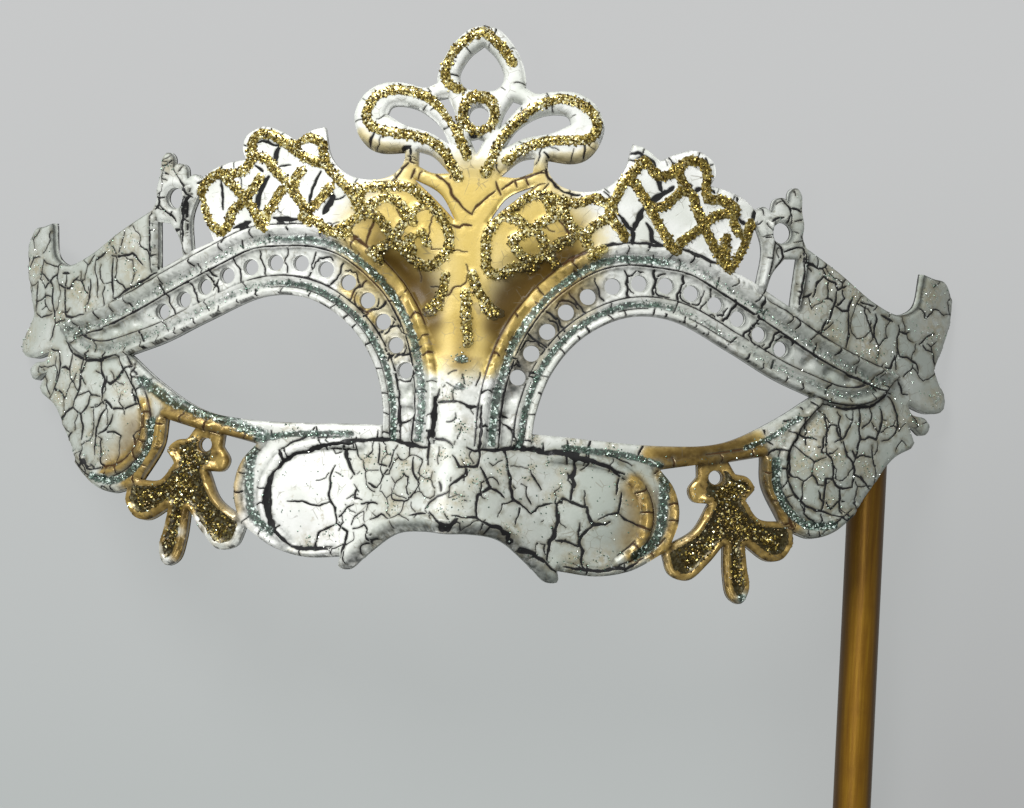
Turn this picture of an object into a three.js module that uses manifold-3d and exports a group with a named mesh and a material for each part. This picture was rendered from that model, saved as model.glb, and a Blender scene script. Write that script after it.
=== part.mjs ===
import * as THREE from "three";
import { mergeVertices } from "three/addons/utils/BufferGeometryUtils.js";
import Module from "manifold-3d";

// A half mask on a stick, lying face up.
// The shell is drawn flat, as seen from the front, and then bent to the face.
// Millimetres. X runs across the face, Y up towards the crest, Z out of the face.

// Shell thickness and how far the mouldings stand proud of it
const WALL = 2;
const RIM_HEIGHT = 1;
const BAR_HEIGHT = 1.3;
const STRIP_DEPTH = 0.7;
const OVERSIZE = 3;

// Widths of the mouldings
const OUTER_RIM = 2.1;
const EYE_RIM = 1.6;
const PANEL_RIM = 2.2;
const CHEEK_RIM = 1.8;
const SPINE = 1.6;
const CREST_BAR = 2.9;
const PENDANT_BAR = 3;

// The row of round holes in each eye band
const HOLE_RADIUS = 1.55;
const HOLE_PITCH = 5.05;
const HOLE_SIDES = 8;
const FIRST_HOLE = 10.5;
const HOLE_COUNT = 13;

// How the shell wraps round the head
const WING_REACH = 90;
const RISE_LENGTH = 50;
const WRAP = 15;
const WRAP_STEEP = 17.5;
const LEAN = 2;
const TWIST_CURVE = 12;
const TWIST = 8;

// The nose, a ridge that grows from the brow down to the tip
const NOSE = {
  start: 20,
  length: 45,
  height: 15,
  power: 1.6,
  halfWidth: 9,
  spread: 8,
  spreadStart: 10,
  spreadLength: 40,
};

// Domes and hollows pressed into the shell: centre, radii, turn in degrees and height
const CHEEK_DOME = { x: 72.5, y: -7, rx: 11, ry: 12.5, turn: 0, height: 2 };
const PANEL_DOME = { x: 27, y: -19.5, rx: 11, ry: 11, turn: 0, height: 1.6 };
const BROW_HOLLOW = { x: 11, y: 23, rx: 7, ry: 11, turn: -40, height: -2.6 };
const PRESSED_FORMS = [CHEEK_DOME, PANEL_DOME, BROW_HOLLOW];

// The stick: the middle of its top end, behind the cheek, and its slant outwards in degrees.
// Its far end reaches down to the table.
const STICK_DIAMETER = 7.6;
const STICK_LENGTH = 300;
const STICK_SIDES = 16;
const STICK_TOP = { x: 79, y: 6, z: -31 };
const STICK_SLANT = 1;

// The bead of glue between the stick and the back of the cheek: centre, half sizes and turn in degrees
const GLUE_BEAD = { x: 80.4, y: -4, z: -29.2, halfWidth: 5.2, halfLength: 10, halfThickness: 3.2, turn: 40 };
const BEAD_SIDES = 14;
const BEAD_RINGS = 10;
const CLEARANCE = 0.3;

// Fineness of curves and facets
const CURVE_TOLERANCE = 0.16;
const CURVE_SAMPLES = 10;
const MOULDING_STEP = 3.6;
const FACET_LIMIT = 11;
const FINE_FACET_LIMIT = 5;
const MERGE_DISTANCE = 1e-5;
const LEVEL_TOLERANCE = 1e-4;
const SLIVER_LIMIT = 1e-3;
const SLOPE_STEP = 0.05;

// Half outline on the +X side, from the tip of the crest to the middle of the nose arch.
// Each run is one smooth curve, and the runs meet at corners.
const HALF_OUTLINE = [
  // Drop at the top of the crest
  [[0, 71.6], [2.8, 70.7], [5.4, 68.2], [7.4, 64.9], [8.4, 61.5], [8.4, 59.9]],
  // Side loop
  [[8.4, 59.9], [10.6, 58.9], [13.2, 59.4], [16.2, 59.7], [19.4, 59.1], [22.2, 57], [23.8, 53.2],
    [22.9, 49.5], [20.8, 47], [18.2, 46.1], [13.6, 46.4]],
  // Neck of the crest and the dip beside it
  [[13.6, 46.4], [13.8, 44.2], [16, 41.8], [20.2, 40.8], [24.6, 41.8], [27.8, 44.9], [29.3, 50.4]],
  [[29.3, 50.4], [31.6, 49.8], [34.7, 47.6]],
  // Two lobes of the fan
  [[34.7, 47.6], [38, 49.3], [41.6, 50], [44.8, 48], [45.3, 45.6], [44.5, 43.6]],
  [[44.5, 43.6], [47.4, 43], [50.8, 41.7], [53.4, 39.6]],
  // Two beads and the tip of the spire
  [[53.4, 39.6], [54.9, 40.5], [56.5, 39.6]],
  [[56.5, 39.6], [57, 41.9], [58.6, 42.5], [59.7, 41.6]],
  [[59.7, 41.6], [59.8, 43.7], [61, 44.6], [62.1, 43.4], [62.4, 40.2], [63, 37.6], [62.9, 35.2],
    [63.7, 33.4]],
  // Top edge of the wing and its horn
  [[63.7, 33.4], [70.5, 29.3], [78.3, 24.1], [83.6, 22.3], [87.2, 24.1], [88.4, 30.8]],
  [[88.4, 30.8], [90.8, 30.2], [93.2, 29.8], [95, 26.4], [94.8, 20.8], [92, 12.2]],
  // Two small lobes at the side of the wing
  [[92, 12.2], [93.2, 9.6], [94.9, 6.2], [94.2, 4], [91.4, 3.4], [86.6, 4.8]],
  [[86.6, 4.8], [87.6, 3], [90.6, 2.3], [91.6, 0.4], [90.4, -1], [88.4, 0.3], [86.8, 0.5]],
  [[86.8, 0.5], [87.7, -0.9], [88.3, -2.7], [87.7, -3.7]],
  // Cheek
  [[87.7, -3.7], [84, -5.8], [79.6, -11.8], [75.4, -17.7], [71.4, -20.9], [67.8, -21.8], [64.1, -20.7]],
  // Pendant: outer lobe, stem and inner lobe
  [[64.1, -20.7], [64.3, -23.2], [62.5, -26], [59.6, -26.4], [55.2, -23.7]],
  [[55.2, -23.7], [55.9, -28], [56.5, -32], [55, -34.7], [52.6, -33.6], [51.5, -29.6], [51.1, -24]],
  [[51.1, -24], [48.4, -27.6], [44.8, -30.9], [41.2, -30], [39.6, -26.2]],
  // Lower edge of the nose panel and the nose arch
  [[39.6, -26.2], [33.8, -29.8], [27.4, -31.1], [20.9, -30.3]],
  [[20.9, -30.3], [21, -32.4], [19.4, -32.4], [15.4, -28.4], [10.4, -24.5], [5.2, -23.5], [0, -23.5]],
];

// Openings on the +X side, each made of smooth runs
const EYE_UPPER_EDGE = [[14.2, -5.2], [14.5, -1.8], [16.9, 6.2], [22.2, 13.2], [30.4, 17.7], [39, 17.7],
  [50.5, 12.4], [59.3, 7.9], [66.8, 5.1]];
const EYE_LOWER_EDGE = [[66.8, 5.1], [59.4, 0], [50, -4.7], [39, -6], [14.2, -5.2]];
const EYE_OPENING = [EYE_UPPER_EDGE, EYE_LOWER_EDGE];
const NOSE_WINDOW = [
  [[38.2, -10.5], [41.1, -14], [42.5, -19], [41.2, -24.1]],
  [[41.2, -24.1], [45.2, -21.4], [47.9, -16.3]],
  [[47.9, -16.3], [44.9, -16], [43.9, -13.9], [45.5, -11.4]],
  [[45.5, -11.4], [45.3, -9.1]],
  [[45.3, -9.1], [38.2, -10.5]],
];
const CHEEK_WINDOW = [
  [[51.2, -8.3], [57.5, -6.9]],
  [[57.5, -6.9], [58, -12.2], [61.7, -18.9]],
  [[61.7, -18.9], [57.6, -18.6], [54.8, -15.3]],
  [[54.8, -15.3], [56.4, -13], [55, -10.9], [52.6, -10.4]],
  [[52.6, -10.4], [51.2, -8.3]],
];
const FAN_WINDOW = [
  [[53.6, 37.2], [55.3, 32.4], [54.7, 25.7]],
  [[54.7, 25.7], [50.1, 27.8]],
  [[50.1, 27.8], [52.4, 32.6], [53.6, 37.2]],
];
const SPIRE_WINDOW = [
  [[59.5, 30.9], [62.3, 31.1]],
  [[62.3, 31.1], [61.6, 21.7]],
  [[61.6, 21.7], [56.4, 24.6]],
  [[56.4, 24.6], [57.4, 28], [59.5, 30.9]],
];
const WEDGE_WINDOW = [
  [[6.2, 57.3], [8, 56.8]],
  [[8, 56.8], [6, 54.4], [4, 51.8]],
  [[4, 51.8], [4.8, 54.8], [6.2, 57.3]],
];
const LOOP_WINDOW = [
  [[5.2, 48.3], [7.4, 51.8], [12, 54.8], [16.6, 55], [17.5, 53.4]],
  [[17.5, 53.4], [14, 51.6], [9, 50.3], [5.2, 48.3]],
];
const NECK_WINDOW = [
  [[11, 46.7], [8.4, 46], [4.8, 42.8]],
  [[4.8, 42.8], [8, 42.7], [10.9, 43.9]],
  [[10.9, 43.9], [11, 46.7]],
];
const SHOULDER_WINDOW = [
  [[11.6, 41.5], [6.4, 38.9], [3.1, 33.9]],
  [[3.1, 33.9], [6.9, 37.5], [11.6, 41.5]],
];
const HALF_DROP_WINDOW = [
  [[0, 67.6], [2.6, 65.2], [4.2, 61.4], [3, 59.3], [0, 58.8]],
];
const HALF_FORK_WINDOW = [
  [[0, 49.8], [1.3, 49.4]],
  [[1.3, 49.4], [0, 46.8]],
];
const SIDE_WINDOWS = [
  EYE_OPENING,
  NOSE_WINDOW,
  CHEEK_WINDOW,
  FAN_WINDOW,
  SPIRE_WINDOW,
  WEDGE_WINDOW,
  LOOP_WINDOW,
  NECK_WINDOW,
  SHOULDER_WINDOW,
];
const RING_WINDOW = { x: 0, y: 54, radius: 1.9, sides: 14 };
const SPIRE_HOLE = { x: 58.8, y: 35.8, radius: 2, sides: 12 };
const PENDANT_HOLE = { x: 48.9, y: -11.3, radius: 1.35, sides: 10 };

// Centre line of the sunk strip that holds the row of round holes, and the strip's half width along it
const STRIP_LINE = [[8.8, -5], [9.6, 1.6], [12.6, 9.3], [18.8, 17.9], [27, 23.3], [37, 24.2],
  [46.8, 21.3], [60.2, 13.7], [69.3, 9.9], [77.5, 8.9]];
const STRIP_HALF_WIDTH = 2.1;
const STRIP_START_SHARE = 0.5;
const STRIP_TAPER_STEPS = 6;
const STRIP_STEPS = 32;

// Mouldings on the +X side: centre line, width and height
const MOULDINGS = [
  { width: OUTER_RIM, height: RIM_HEIGHT,
    line: [[4.9, -6], [5, 0], [6.4, 8], [10, 16.6], [16.4, 24.2], [24.2, 29.2], [33, 30.6], [42, 29.7],
      [50, 25.9], [60, 20.3], [70, 14.8], [77, 11.9], [83, 10.4]] },
  { width: EYE_RIM, height: RIM_HEIGHT,
    line: [[13.5, -6.4], [13.7, -1.6], [16.2, 6.6], [21.7, 13.8], [30.2, 18.5], [39.3, 18.5],
      [50.9, 13.1], [59.6, 8.6], [67, 5.9], [73.4, 4.6], [79.2, 6.2], [82.8, 10]] },
  { width: PANEL_RIM, height: RIM_HEIGHT,
    line: [[24.5, -8.3], [30.4, -9.7], [35, -13.4], [37, -19], [35.8, -24.8], [31.4, -28.9]] },
  { width: CHEEK_RIM, height: RIM_HEIGHT,
    line: [[37.2, -9.7], [40.4, -13.6], [41.6, -19], [40.4, -24.2], [35, -28.3], [28, -30.2],
      [22, -29.6]] },
  { width: CHEEK_RIM, height: RIM_HEIGHT,
    line: [[58.5, -7.3], [59, -12.6], [62, -18], [66.8, -20.8], [71.6, -20], [75.6, -16.6]] },
  { width: CHEEK_RIM, height: RIM_HEIGHT,
    line: [[67.6, 4.2], [63, -2.4], [61.3, -8], [63, -13.9], [67, -17.5], [71.8, -18.4]] },
  { width: CHEEK_RIM, height: RIM_HEIGHT, line: [[38, -9.5], [46, -8.2], [57.6, -5.8]] },
  { width: SPINE, height: RIM_HEIGHT, line: [[56.2, 37.6], [56.4, 31.4], [55.5, 25.8]] },
  { width: SPINE, height: RIM_HEIGHT, line: [[63.2, 31.8], [62.9, 27], [62.3, 22.2]] },
  { width: CREST_BAR, height: BAR_HEIGHT,
    line: [[3, 43.6], [3.6, 48.4], [8, 54.6], [12.2, 57.1], [17, 57.3], [20.6, 54.6], [20, 50.2],
      [14, 49.2], [8.4, 47.6], [4.4, 44.4]] },
  { width: PENDANT_BAR, height: RIM_HEIGHT, line: [[50.2, -13], [53.2, -18], [53.4, -25], [54.3, -32.6]] },
  { width: PENDANT_BAR, height: RIM_HEIGHT,
    line: [[52.8, -18.6], [49.8, -21.6], [47.4, -25.4], [43.4, -28.4]] },
  { width: PENDANT_BAR, height: RIM_HEIGHT, line: [[53.2, -17.6], [56.6, -21.4], [61.8, -23]] },
];
const DROP_LINE = [[-4.9, 57.4], [-6.3, 61], [-3.9, 66.8], [0, 69.7], [3.9, 66.8], [6.3, 61], [4.9, 57.4]];
const RING_LINE_RADIUS = 3.2;
const RING_BAR = 2.4;
const RING_SIDES = 16;
const RING_SECTION_SIDES = 6;

const WHITE = new THREE.MeshStandardMaterial({ color: 0xe9e5d2, roughness: 0.55, metalness: 0 });
const GOLD = new THREE.MeshStandardMaterial({ color: 0x8a6420, roughness: 0.35, metalness: 0.6 });
const GLUE = new THREE.MeshStandardMaterial({ color: 0xd9cfae, roughness: 0.3, metalness: 0 });

const wasm = await Module();
wasm.setup();

// Curves and outlines

function distanceToChord(point, start, end) {
  const chord = end.clone().sub(start);
  const along = THREE.MathUtils.clamp(point.clone().sub(start).dot(chord) / chord.lengthSq(), 0, 1);
  return point.distanceTo(start.clone().addScaledVector(chord, along));
}

// Keeps only the points that a curve needs to stay within the tolerance
function thinOut(points) {
  let worst = 0;
  let split = 0;
  for (let i = 1; i < points.length - 1; i += 1) {
    const distance = distanceToChord(points[i], points[0], points[points.length - 1]);
    if (distance > worst) {
      worst = distance;
      split = i;
    }
  }
  if (worst < CURVE_TOLERANCE) return [points[0], points[points.length - 1]];
  return [...thinOut(points.slice(0, split + 1)).slice(0, -1), ...thinOut(points.slice(split))];
}

function smoothCurve(run) {
  return new THREE.CatmullRomCurve3(run.map(([x, y]) => new THREE.Vector3(x, y, 0)), false, "centripetal");
}

function smoothRun(run, side) {
  const points = smoothCurve(run).getPoints(CURVE_SAMPLES * (run.length - 1));
  return thinOut(points.map((p) => new THREE.Vector2(side * p.x, p.y)));
}

function joinRuns(runs, side) {
  return runs.flatMap((run) => smoothRun(run, side).slice(0, -1));
}

// Closes a half outline, which starts and ends on the centre line, with its mirror image
function mirrored(runs) {
  const last = runs[runs.length - 1];
  const end = last[last.length - 1];
  const half = [...joinRuns(runs, 1), new THREE.Vector2(end[0], end[1])];
  const mirror = half.slice(1, -1).reverse().map((p) => new THREE.Vector2(-p.x, p.y));
  return [...half, ...mirror];
}

function circle({ x, y, radius, sides }, side) {
  const points = [];
  for (let i = 0; i < sides; i += 1) {
    const angle = (2 * Math.PI * (i + 0.5)) / sides;
    points.push(new THREE.Vector2(side * x + radius * Math.cos(angle), y + radius * Math.sin(angle)));
  }
  return points;
}

// Solids in flat space, as manifold-3d reads them

function toManifold(geometry) {
  geometry.deleteAttribute("normal");
  geometry.deleteAttribute("uv");
  const merged = mergeVertices(geometry, MERGE_DISTANCE);
  return new wasm.Manifold(new wasm.Mesh({
    numProp: 3,
    vertProperties: new Float32Array(merged.attributes.position.array),
    triVerts: new Uint32Array(merged.index.array),
  }));
}

function toGeometry(manifold) {
  const { vertProperties, triVerts } = manifold.getMesh();
  const geometry = new THREE.BufferGeometry();
  geometry.setAttribute("position", new THREE.BufferAttribute(vertProperties, 3));
  geometry.setIndex([...triVerts]);
  geometry.computeVertexNormals();
  return geometry;
}

function prism(points, bottom, top) {
  const settings = { depth: top - bottom, bevelEnabled: false };
  const geometry = new THREE.ExtrudeGeometry(new THREE.Shape(points), settings);
  return toManifold(geometry.translate(0, 0, bottom));
}

// A raised moulding along a line: a low rounded back with its foot sunk in the shell
function moulding({ line, width, height }, side) {
  const path = smoothCurve(line.map(([x, y]) => [side * x, y]));
  const foot = WALL / 2;
  const half = width / 2;
  const section = new THREE.Shape([
    new THREE.Vector2(foot, -half),
    new THREE.Vector2(-height / 3, -half),
    new THREE.Vector2(-height, -half / 3),
    new THREE.Vector2(-height, half / 3),
    new THREE.Vector2(-height / 3, half),
    new THREE.Vector2(foot, half),
  ]);
  const steps = Math.max(2, Math.round(path.getLength() / MOULDING_STEP));
  return toManifold(new THREE.ExtrudeGeometry(section, { steps, extrudePath: path, bevelEnabled: false }));
}

function stripOutline(side) {
  const curve = smoothCurve(STRIP_LINE);
  const edges = [[], []];
  for (let i = 0; i <= STRIP_STEPS; i += 1) {
    const centre = curve.getPointAt(i / STRIP_STEPS);
    const along = curve.getTangentAt(i / STRIP_STEPS);
    const taper = Math.min(1, i / STRIP_TAPER_STEPS);
    const half = STRIP_HALF_WIDTH * THREE.MathUtils.lerp(STRIP_START_SHARE, 1, taper);
    edges[0].push(new THREE.Vector2(side * (centre.x - half * along.y), centre.y + half * along.x));
    edges[1].push(new THREE.Vector2(side * (centre.x + half * along.y), centre.y - half * along.x));
  }
  return [...edges[0], ...edges[1].reverse()];
}

function roundHoles(side) {
  const curve = smoothCurve(STRIP_LINE);
  const length = curve.getLength();
  const holes = [];
  for (let i = 0; i < HOLE_COUNT; i += 1) {
    const { x, y } = curve.getPointAt((FIRST_HOLE + i * HOLE_PITCH) / length);
    holes.push(circle({ x, y, radius: HOLE_RADIUS, sides: HOLE_SIDES }, side));
  }
  return holes;
}

function flatMask() {
  const holes = [mirrored(HALF_DROP_WINDOW), mirrored(HALF_FORK_WINDOW), circle(RING_WINDOW, 1)];
  for (const side of [1, -1]) {
    holes.push(...SIDE_WINDOWS.map((runs) => joinRuns(runs, side)));
    holes.push(circle(SPIRE_HOLE, side), circle(PENDANT_HOLE, side), ...roundHoles(side));
  }
  const slabWidth = OVERSIZE * WING_REACH;
  const slabDepth = WALL + OVERSIZE;
  const slab = new THREE.BoxGeometry(slabWidth, slabWidth, slabDepth).translate(0, 0, -slabDepth / 2);
  let body = toManifold(slab);
  for (const side of [1, -1]) {
    body = body.subtract(prism(stripOutline(side), -STRIP_DEPTH, OVERSIZE));
  }
  for (const side of [1, -1]) {
    for (const piece of MOULDINGS) body = body.add(moulding(piece, side));
  }
  body = body.add(moulding({ line: DROP_LINE, width: CREST_BAR, height: BAR_HEIGHT }, 1));
  const ring = new THREE.TorusGeometry(RING_LINE_RADIUS, RING_BAR / 2, RING_SECTION_SIDES, RING_SIDES);
  body = body.add(toManifold(ring.translate(RING_WINDOW.x, RING_WINDOW.y, 0)));
  body = body.intersect(prism(mirrored(HALF_OUTLINE), -WALL, OVERSIZE));
  for (const hole of holes) body = body.subtract(prism(hole, -WALL - OVERSIZE, 2 * OVERSIZE));
  return body;
}

// The bent form of the shell

function dome({ x, y, rx, ry, turn, height }, px, py) {
  const angle = THREE.MathUtils.degToRad(turn);
  const dx = Math.abs(px) - x;
  const dy = py - y;
  const u = (dx * Math.cos(angle) + dy * Math.sin(angle)) / rx;
  const v = (dy * Math.cos(angle) - dx * Math.sin(angle)) / ry;
  const inside = Math.max(0, 1 - u * u - v * v);
  return height * inside * inside;
}

function noseHeight(x, y) {
  const grow = Math.max(0, (NOSE.start - y) / NOSE.length);
  const widen = THREE.MathUtils.clamp((NOSE.spreadStart - y) / NOSE.spreadLength, 0, 1);
  const halfWidth = NOSE.halfWidth + NOSE.spread * widen;
  return NOSE.height * grow ** NOSE.power * Math.exp(-((x / halfWidth) ** 2));
}

function faceHeight(x, y) {
  const side = (x / WING_REACH) ** 2;
  const rise = y / RISE_LENGTH;
  const wrap = -WRAP * side - WRAP_STEEP * side * side;
  const lean = -LEAN * rise * rise;
  const twist = side * rise * (TWIST_CURVE * rise - TWIST);
  const pressed = PRESSED_FORMS.map((form) => dome(form, x, y));
  return wrap + lean + twist + noseHeight(x, y) + pressed.reduce((sum, height) => sum + height);
}

function bend(x, y, above) {
  const slopeX = (faceHeight(x + SLOPE_STEP, y) - faceHeight(x - SLOPE_STEP, y)) / (2 * SLOPE_STEP);
  const slopeY = (faceHeight(x, y + SLOPE_STEP) - faceHeight(x, y - SLOPE_STEP)) / (2 * SLOPE_STEP);
  const normal = new THREE.Vector3(-slopeX, -slopeY, 1).normalize();
  return new THREE.Vector3(x, y, faceHeight(x, y)).addScaledVector(normal, above);
}

// Splits long edges, so that the flat facets follow the bend

function facetLimit(x, y) {
  const onNose = Math.abs(x) < NOSE.halfWidth + NOSE.spread && y < NOSE.start;
  const onPressedForm = PRESSED_FORMS.some((form) => dome(form, x, y) !== 0);
  return onNose || onPressedForm ? FINE_FACET_LIMIT : FACET_LIMIT;
}

function edgeTable(triangles) {
  const table = new Map();
  triangles.forEach((triangle, index) => {
    for (let k = 0; k < 3; k += 1) {
      const key = `${triangle[k]},${triangle[(k + 1) % 3]}`;
      table.set(key, index);
    }
  });
  return table;
}

function splitLongEdges(points, triangles) {
  const table = edgeTable(triangles);
  const long = [];
  for (const [key, index] of table) {
    const [a, b] = key.split(",").map(Number);
    if (a > b) continue;
    const [ax, ay, az] = points[a];
    const [bx, by, bz] = points[b];
    const length = Math.hypot(ax - bx, ay - by, az - bz);
    if (length > facetLimit((ax + bx) / 2, (ay + by) / 2)) long.push({ a, b, length, index });
  }
  long.sort((p, q) => q.length - p.length);
  const touched = new Set();
  let splits = 0;
  for (const { a, b, index } of long) {
    const other = table.get(`${b},${a}`);
    if (touched.has(index) || touched.has(other)) continue;
    touched.add(index).add(other);
    const middle = points.length;
    points.push(points[a].map((value, k) => (value + points[b][k]) / 2));
    for (const [which, from, to] of [[index, a, b], [other, b, a]]) {
      const apex = triangles[which].find((v) => v !== a && v !== b);
      triangles[which] = [from, middle, apex];
      triangles.push([middle, to, apex]);
    }
    splits += 1;
  }
  return splits;
}

function cross(points, a, b, c) {
  const [ax, ay] = points[a];
  return (points[b][0] - ax) * (points[c][1] - ay) - (points[b][1] - ay) * (points[c][0] - ax);
}

function angleAt(points, apex, a, b) {
  const u = new THREE.Vector2(points[a][0] - points[apex][0], points[a][1] - points[apex][1]);
  const v = new THREE.Vector2(points[b][0] - points[apex][0], points[b][1] - points[apex][1]);
  return Math.abs(u.angleTo(v));
}

// Turns the shared edge of two level facets where that makes them less slender
function flipSlenderFacets(points, triangles) {
  const table = edgeTable(triangles);
  const rise = (a, b) => Math.abs(points[a][2] - points[b][2]);
  let flips = 0;
  for (const [key, first] of [...table]) {
    const [a, b] = key.split(",").map(Number);
    const second = table.get(`${b},${a}`);
    if (a > b || table.get(key) !== first || second === undefined) continue;
    const c = triangles[first].find((v) => v !== a && v !== b);
    const d = triangles[second].find((v) => v !== a && v !== b);
    if (Math.max(rise(a, b), rise(a, c), rise(a, d)) > LEVEL_TOLERANCE) continue;
    if (table.has(`${c},${d}`) || table.has(`${d},${c}`)) continue;
    if (angleAt(points, c, a, b) + angleAt(points, d, a, b) < Math.PI + SLIVER_LIMIT) continue;
    const turn = Math.sign(cross(points, a, b, c));
    const areas = [turn * cross(points, a, d, c), turn * cross(points, d, b, c)];
    if (Math.min(...areas) < SLIVER_LIMIT) continue;
    triangles[first] = [a, d, c];
    triangles[second] = [d, b, c];
    table.delete(key);
    table.delete(`${b},${a}`);
    for (const index of [first, second]) {
      const triangle = triangles[index];
      for (let k = 0; k < 3; k += 1) table.set(`${triangle[k]},${triangle[(k + 1) % 3]}`, index);
    }
    flips += 1;
  }
  return flips;
}

function refine(points, triangles) {
  while (flipSlenderFacets(points, triangles) > 0);
  while (splitLongEdges(points, triangles) > 0) {
    while (flipSlenderFacets(points, triangles) > 0);
  }
}

function maskGeometry() {
  const { vertProperties, triVerts } = flatMask().getMesh();
  const points = [];
  for (let i = 0; i < vertProperties.length; i += 3) points.push([...vertProperties.slice(i, i + 3)]);
  const triangles = [];
  for (let i = 0; i < triVerts.length; i += 3) triangles.push([...triVerts.slice(i, i + 3)]);
  refine(points, triangles);
  const geometry = new THREE.BufferGeometry().setFromPoints(points.map(([x, y, above]) => bend(x, y, above)));
  geometry.setIndex(triangles.flat());
  geometry.computeVertexNormals();
  return geometry;
}

// The stick, lying with its far end on the table

function stickGeometry(restHeight, growth) {
  const radius = STICK_DIAMETER / 2;
  const flatRadius = radius * Math.cos(Math.PI / STICK_SIDES);
  const drop = Math.asin((STICK_TOP.z + restHeight - flatRadius) / STICK_LENGTH);
  const slant = THREE.MathUtils.degToRad(STICK_SLANT);
  const top = new THREE.Vector3(STICK_TOP.x, STICK_TOP.y, STICK_TOP.z);
  const down = new THREE.Vector3(
    Math.sin(slant) * Math.cos(drop),
    -Math.cos(slant) * Math.cos(drop),
    -Math.sin(drop),
  );
  const turn = new THREE.Quaternion().setFromUnitVectors(new THREE.Vector3(0, -1, 0), down);
  const length = STICK_LENGTH + 2 * growth;
  const geometry = new THREE.CylinderGeometry(radius + growth, radius + growth, length, STICK_SIDES);
  geometry.rotateY(Math.PI / STICK_SIDES).applyQuaternion(turn);
  const middle = top.addScaledVector(down, STICK_LENGTH / 2);
  return geometry.translate(middle.x, middle.y, middle.z);
}

// The glue fills the space between the stick and the shell, up to both of them
function glueGeometry(shell, restHeight) {
  const { x, y, z, halfWidth, halfLength, halfThickness, turn } = GLUE_BEAD;
  const tilt = THREE.MathUtils.degToRad(turn);
  const bead = new THREE.SphereGeometry(1, BEAD_SIDES, BEAD_RINGS);
  bead.rotateX(Math.PI / 2).scale(halfWidth, halfLength, halfThickness).rotateY(tilt).translate(x, y, z);
  const lowered = shell.clone().translate(-CLEARANCE * Math.sin(tilt), 0, -CLEARANCE * Math.cos(tilt));
  const rod = stickGeometry(restHeight, CLEARANCE);
  return toGeometry(toManifold(bead).subtract(toManifold(lowered)).subtract(toManifold(rod)));
}

const shell = maskGeometry();
shell.computeBoundingBox();
const restHeight = -shell.boundingBox.min.z;

const mask = new THREE.Mesh(shell, WHITE);
mask.name = "mask";

const stick = new THREE.Mesh(stickGeometry(restHeight, 0), GOLD);
stick.name = "stick";

const glueBead = new THREE.Mesh(glueGeometry(shell, restHeight), GLUE);
glueBead.name = "glue_bead";

// The origin is at the middle of the underside of the whole object
const object = new THREE.Group();
object.add(mask, stick, glueBead);
const box = new THREE.Box3().setFromObject(object, true);
const middle = box.getCenter(new THREE.Vector3());
object.position.set(-middle.x, -middle.y, -box.min.z);

export default object;
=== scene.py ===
import math

import bpy
import numpy as np
from mathutils import Matrix, Vector
from mathutils.geometry import delaunay_2d_cdt


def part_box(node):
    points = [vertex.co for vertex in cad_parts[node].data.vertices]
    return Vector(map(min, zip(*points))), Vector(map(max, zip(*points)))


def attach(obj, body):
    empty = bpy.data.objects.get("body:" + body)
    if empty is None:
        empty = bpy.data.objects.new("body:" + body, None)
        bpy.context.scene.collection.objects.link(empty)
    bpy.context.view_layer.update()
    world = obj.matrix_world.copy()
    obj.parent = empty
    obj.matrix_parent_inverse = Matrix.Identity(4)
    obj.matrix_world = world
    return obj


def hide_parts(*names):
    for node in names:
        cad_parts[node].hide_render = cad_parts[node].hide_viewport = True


# A half mask on a stick, lying face up. The shell is drawn flat, as seen from the front, and then bent.
# Lengths are in millimetres until a piece is made, and x, y are flat coordinates with the crest at the top.

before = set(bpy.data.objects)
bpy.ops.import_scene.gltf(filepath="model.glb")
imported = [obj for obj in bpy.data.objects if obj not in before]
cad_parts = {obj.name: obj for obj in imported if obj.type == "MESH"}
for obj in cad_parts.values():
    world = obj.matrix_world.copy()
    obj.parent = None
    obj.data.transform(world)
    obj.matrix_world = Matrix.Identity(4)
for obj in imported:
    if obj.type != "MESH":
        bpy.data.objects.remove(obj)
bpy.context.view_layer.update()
random = np.random.default_rng(7)
MM = 0.001

# Shell and its bend, as in the solids
WALL = 2.0
WING_REACH = 90.0
RISE_LENGTH = 50.0
WRAP = 15.0
WRAP_STEEP = 17.5
LEAN = 2.0
TWIST_CURVE = 12.0
TWIST = 8.0
NOSE = dict(start=20, length=45, height=15, power=1.6, half_width=9, spread=8, spread_start=10,
            spread_length=40)
PRESSED_FORMS = [
    dict(x=72.5, y=-7, rx=11, ry=12.5, turn=0, height=2.0),
    dict(x=27, y=-19.5, rx=11, ry=11, turn=0, height=1.6),
    dict(x=11, y=23, rx=7, ry=11, turn=-40, height=-2.6),
]
CREST_TOP = 71.6

# Round holes of the eye bands
HOLE_RADIUS = 1.55
HOLE_PITCH = 5.05
FIRST_HOLE = 10.5
HOLE_COUNT = 13
DIMPLES = [2.5, 6.2, 76.6, 81.3, 85.5]
DIMPLE_RADIUS = 1.0
DIMPLE_DEPTH = 0.9

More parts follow.
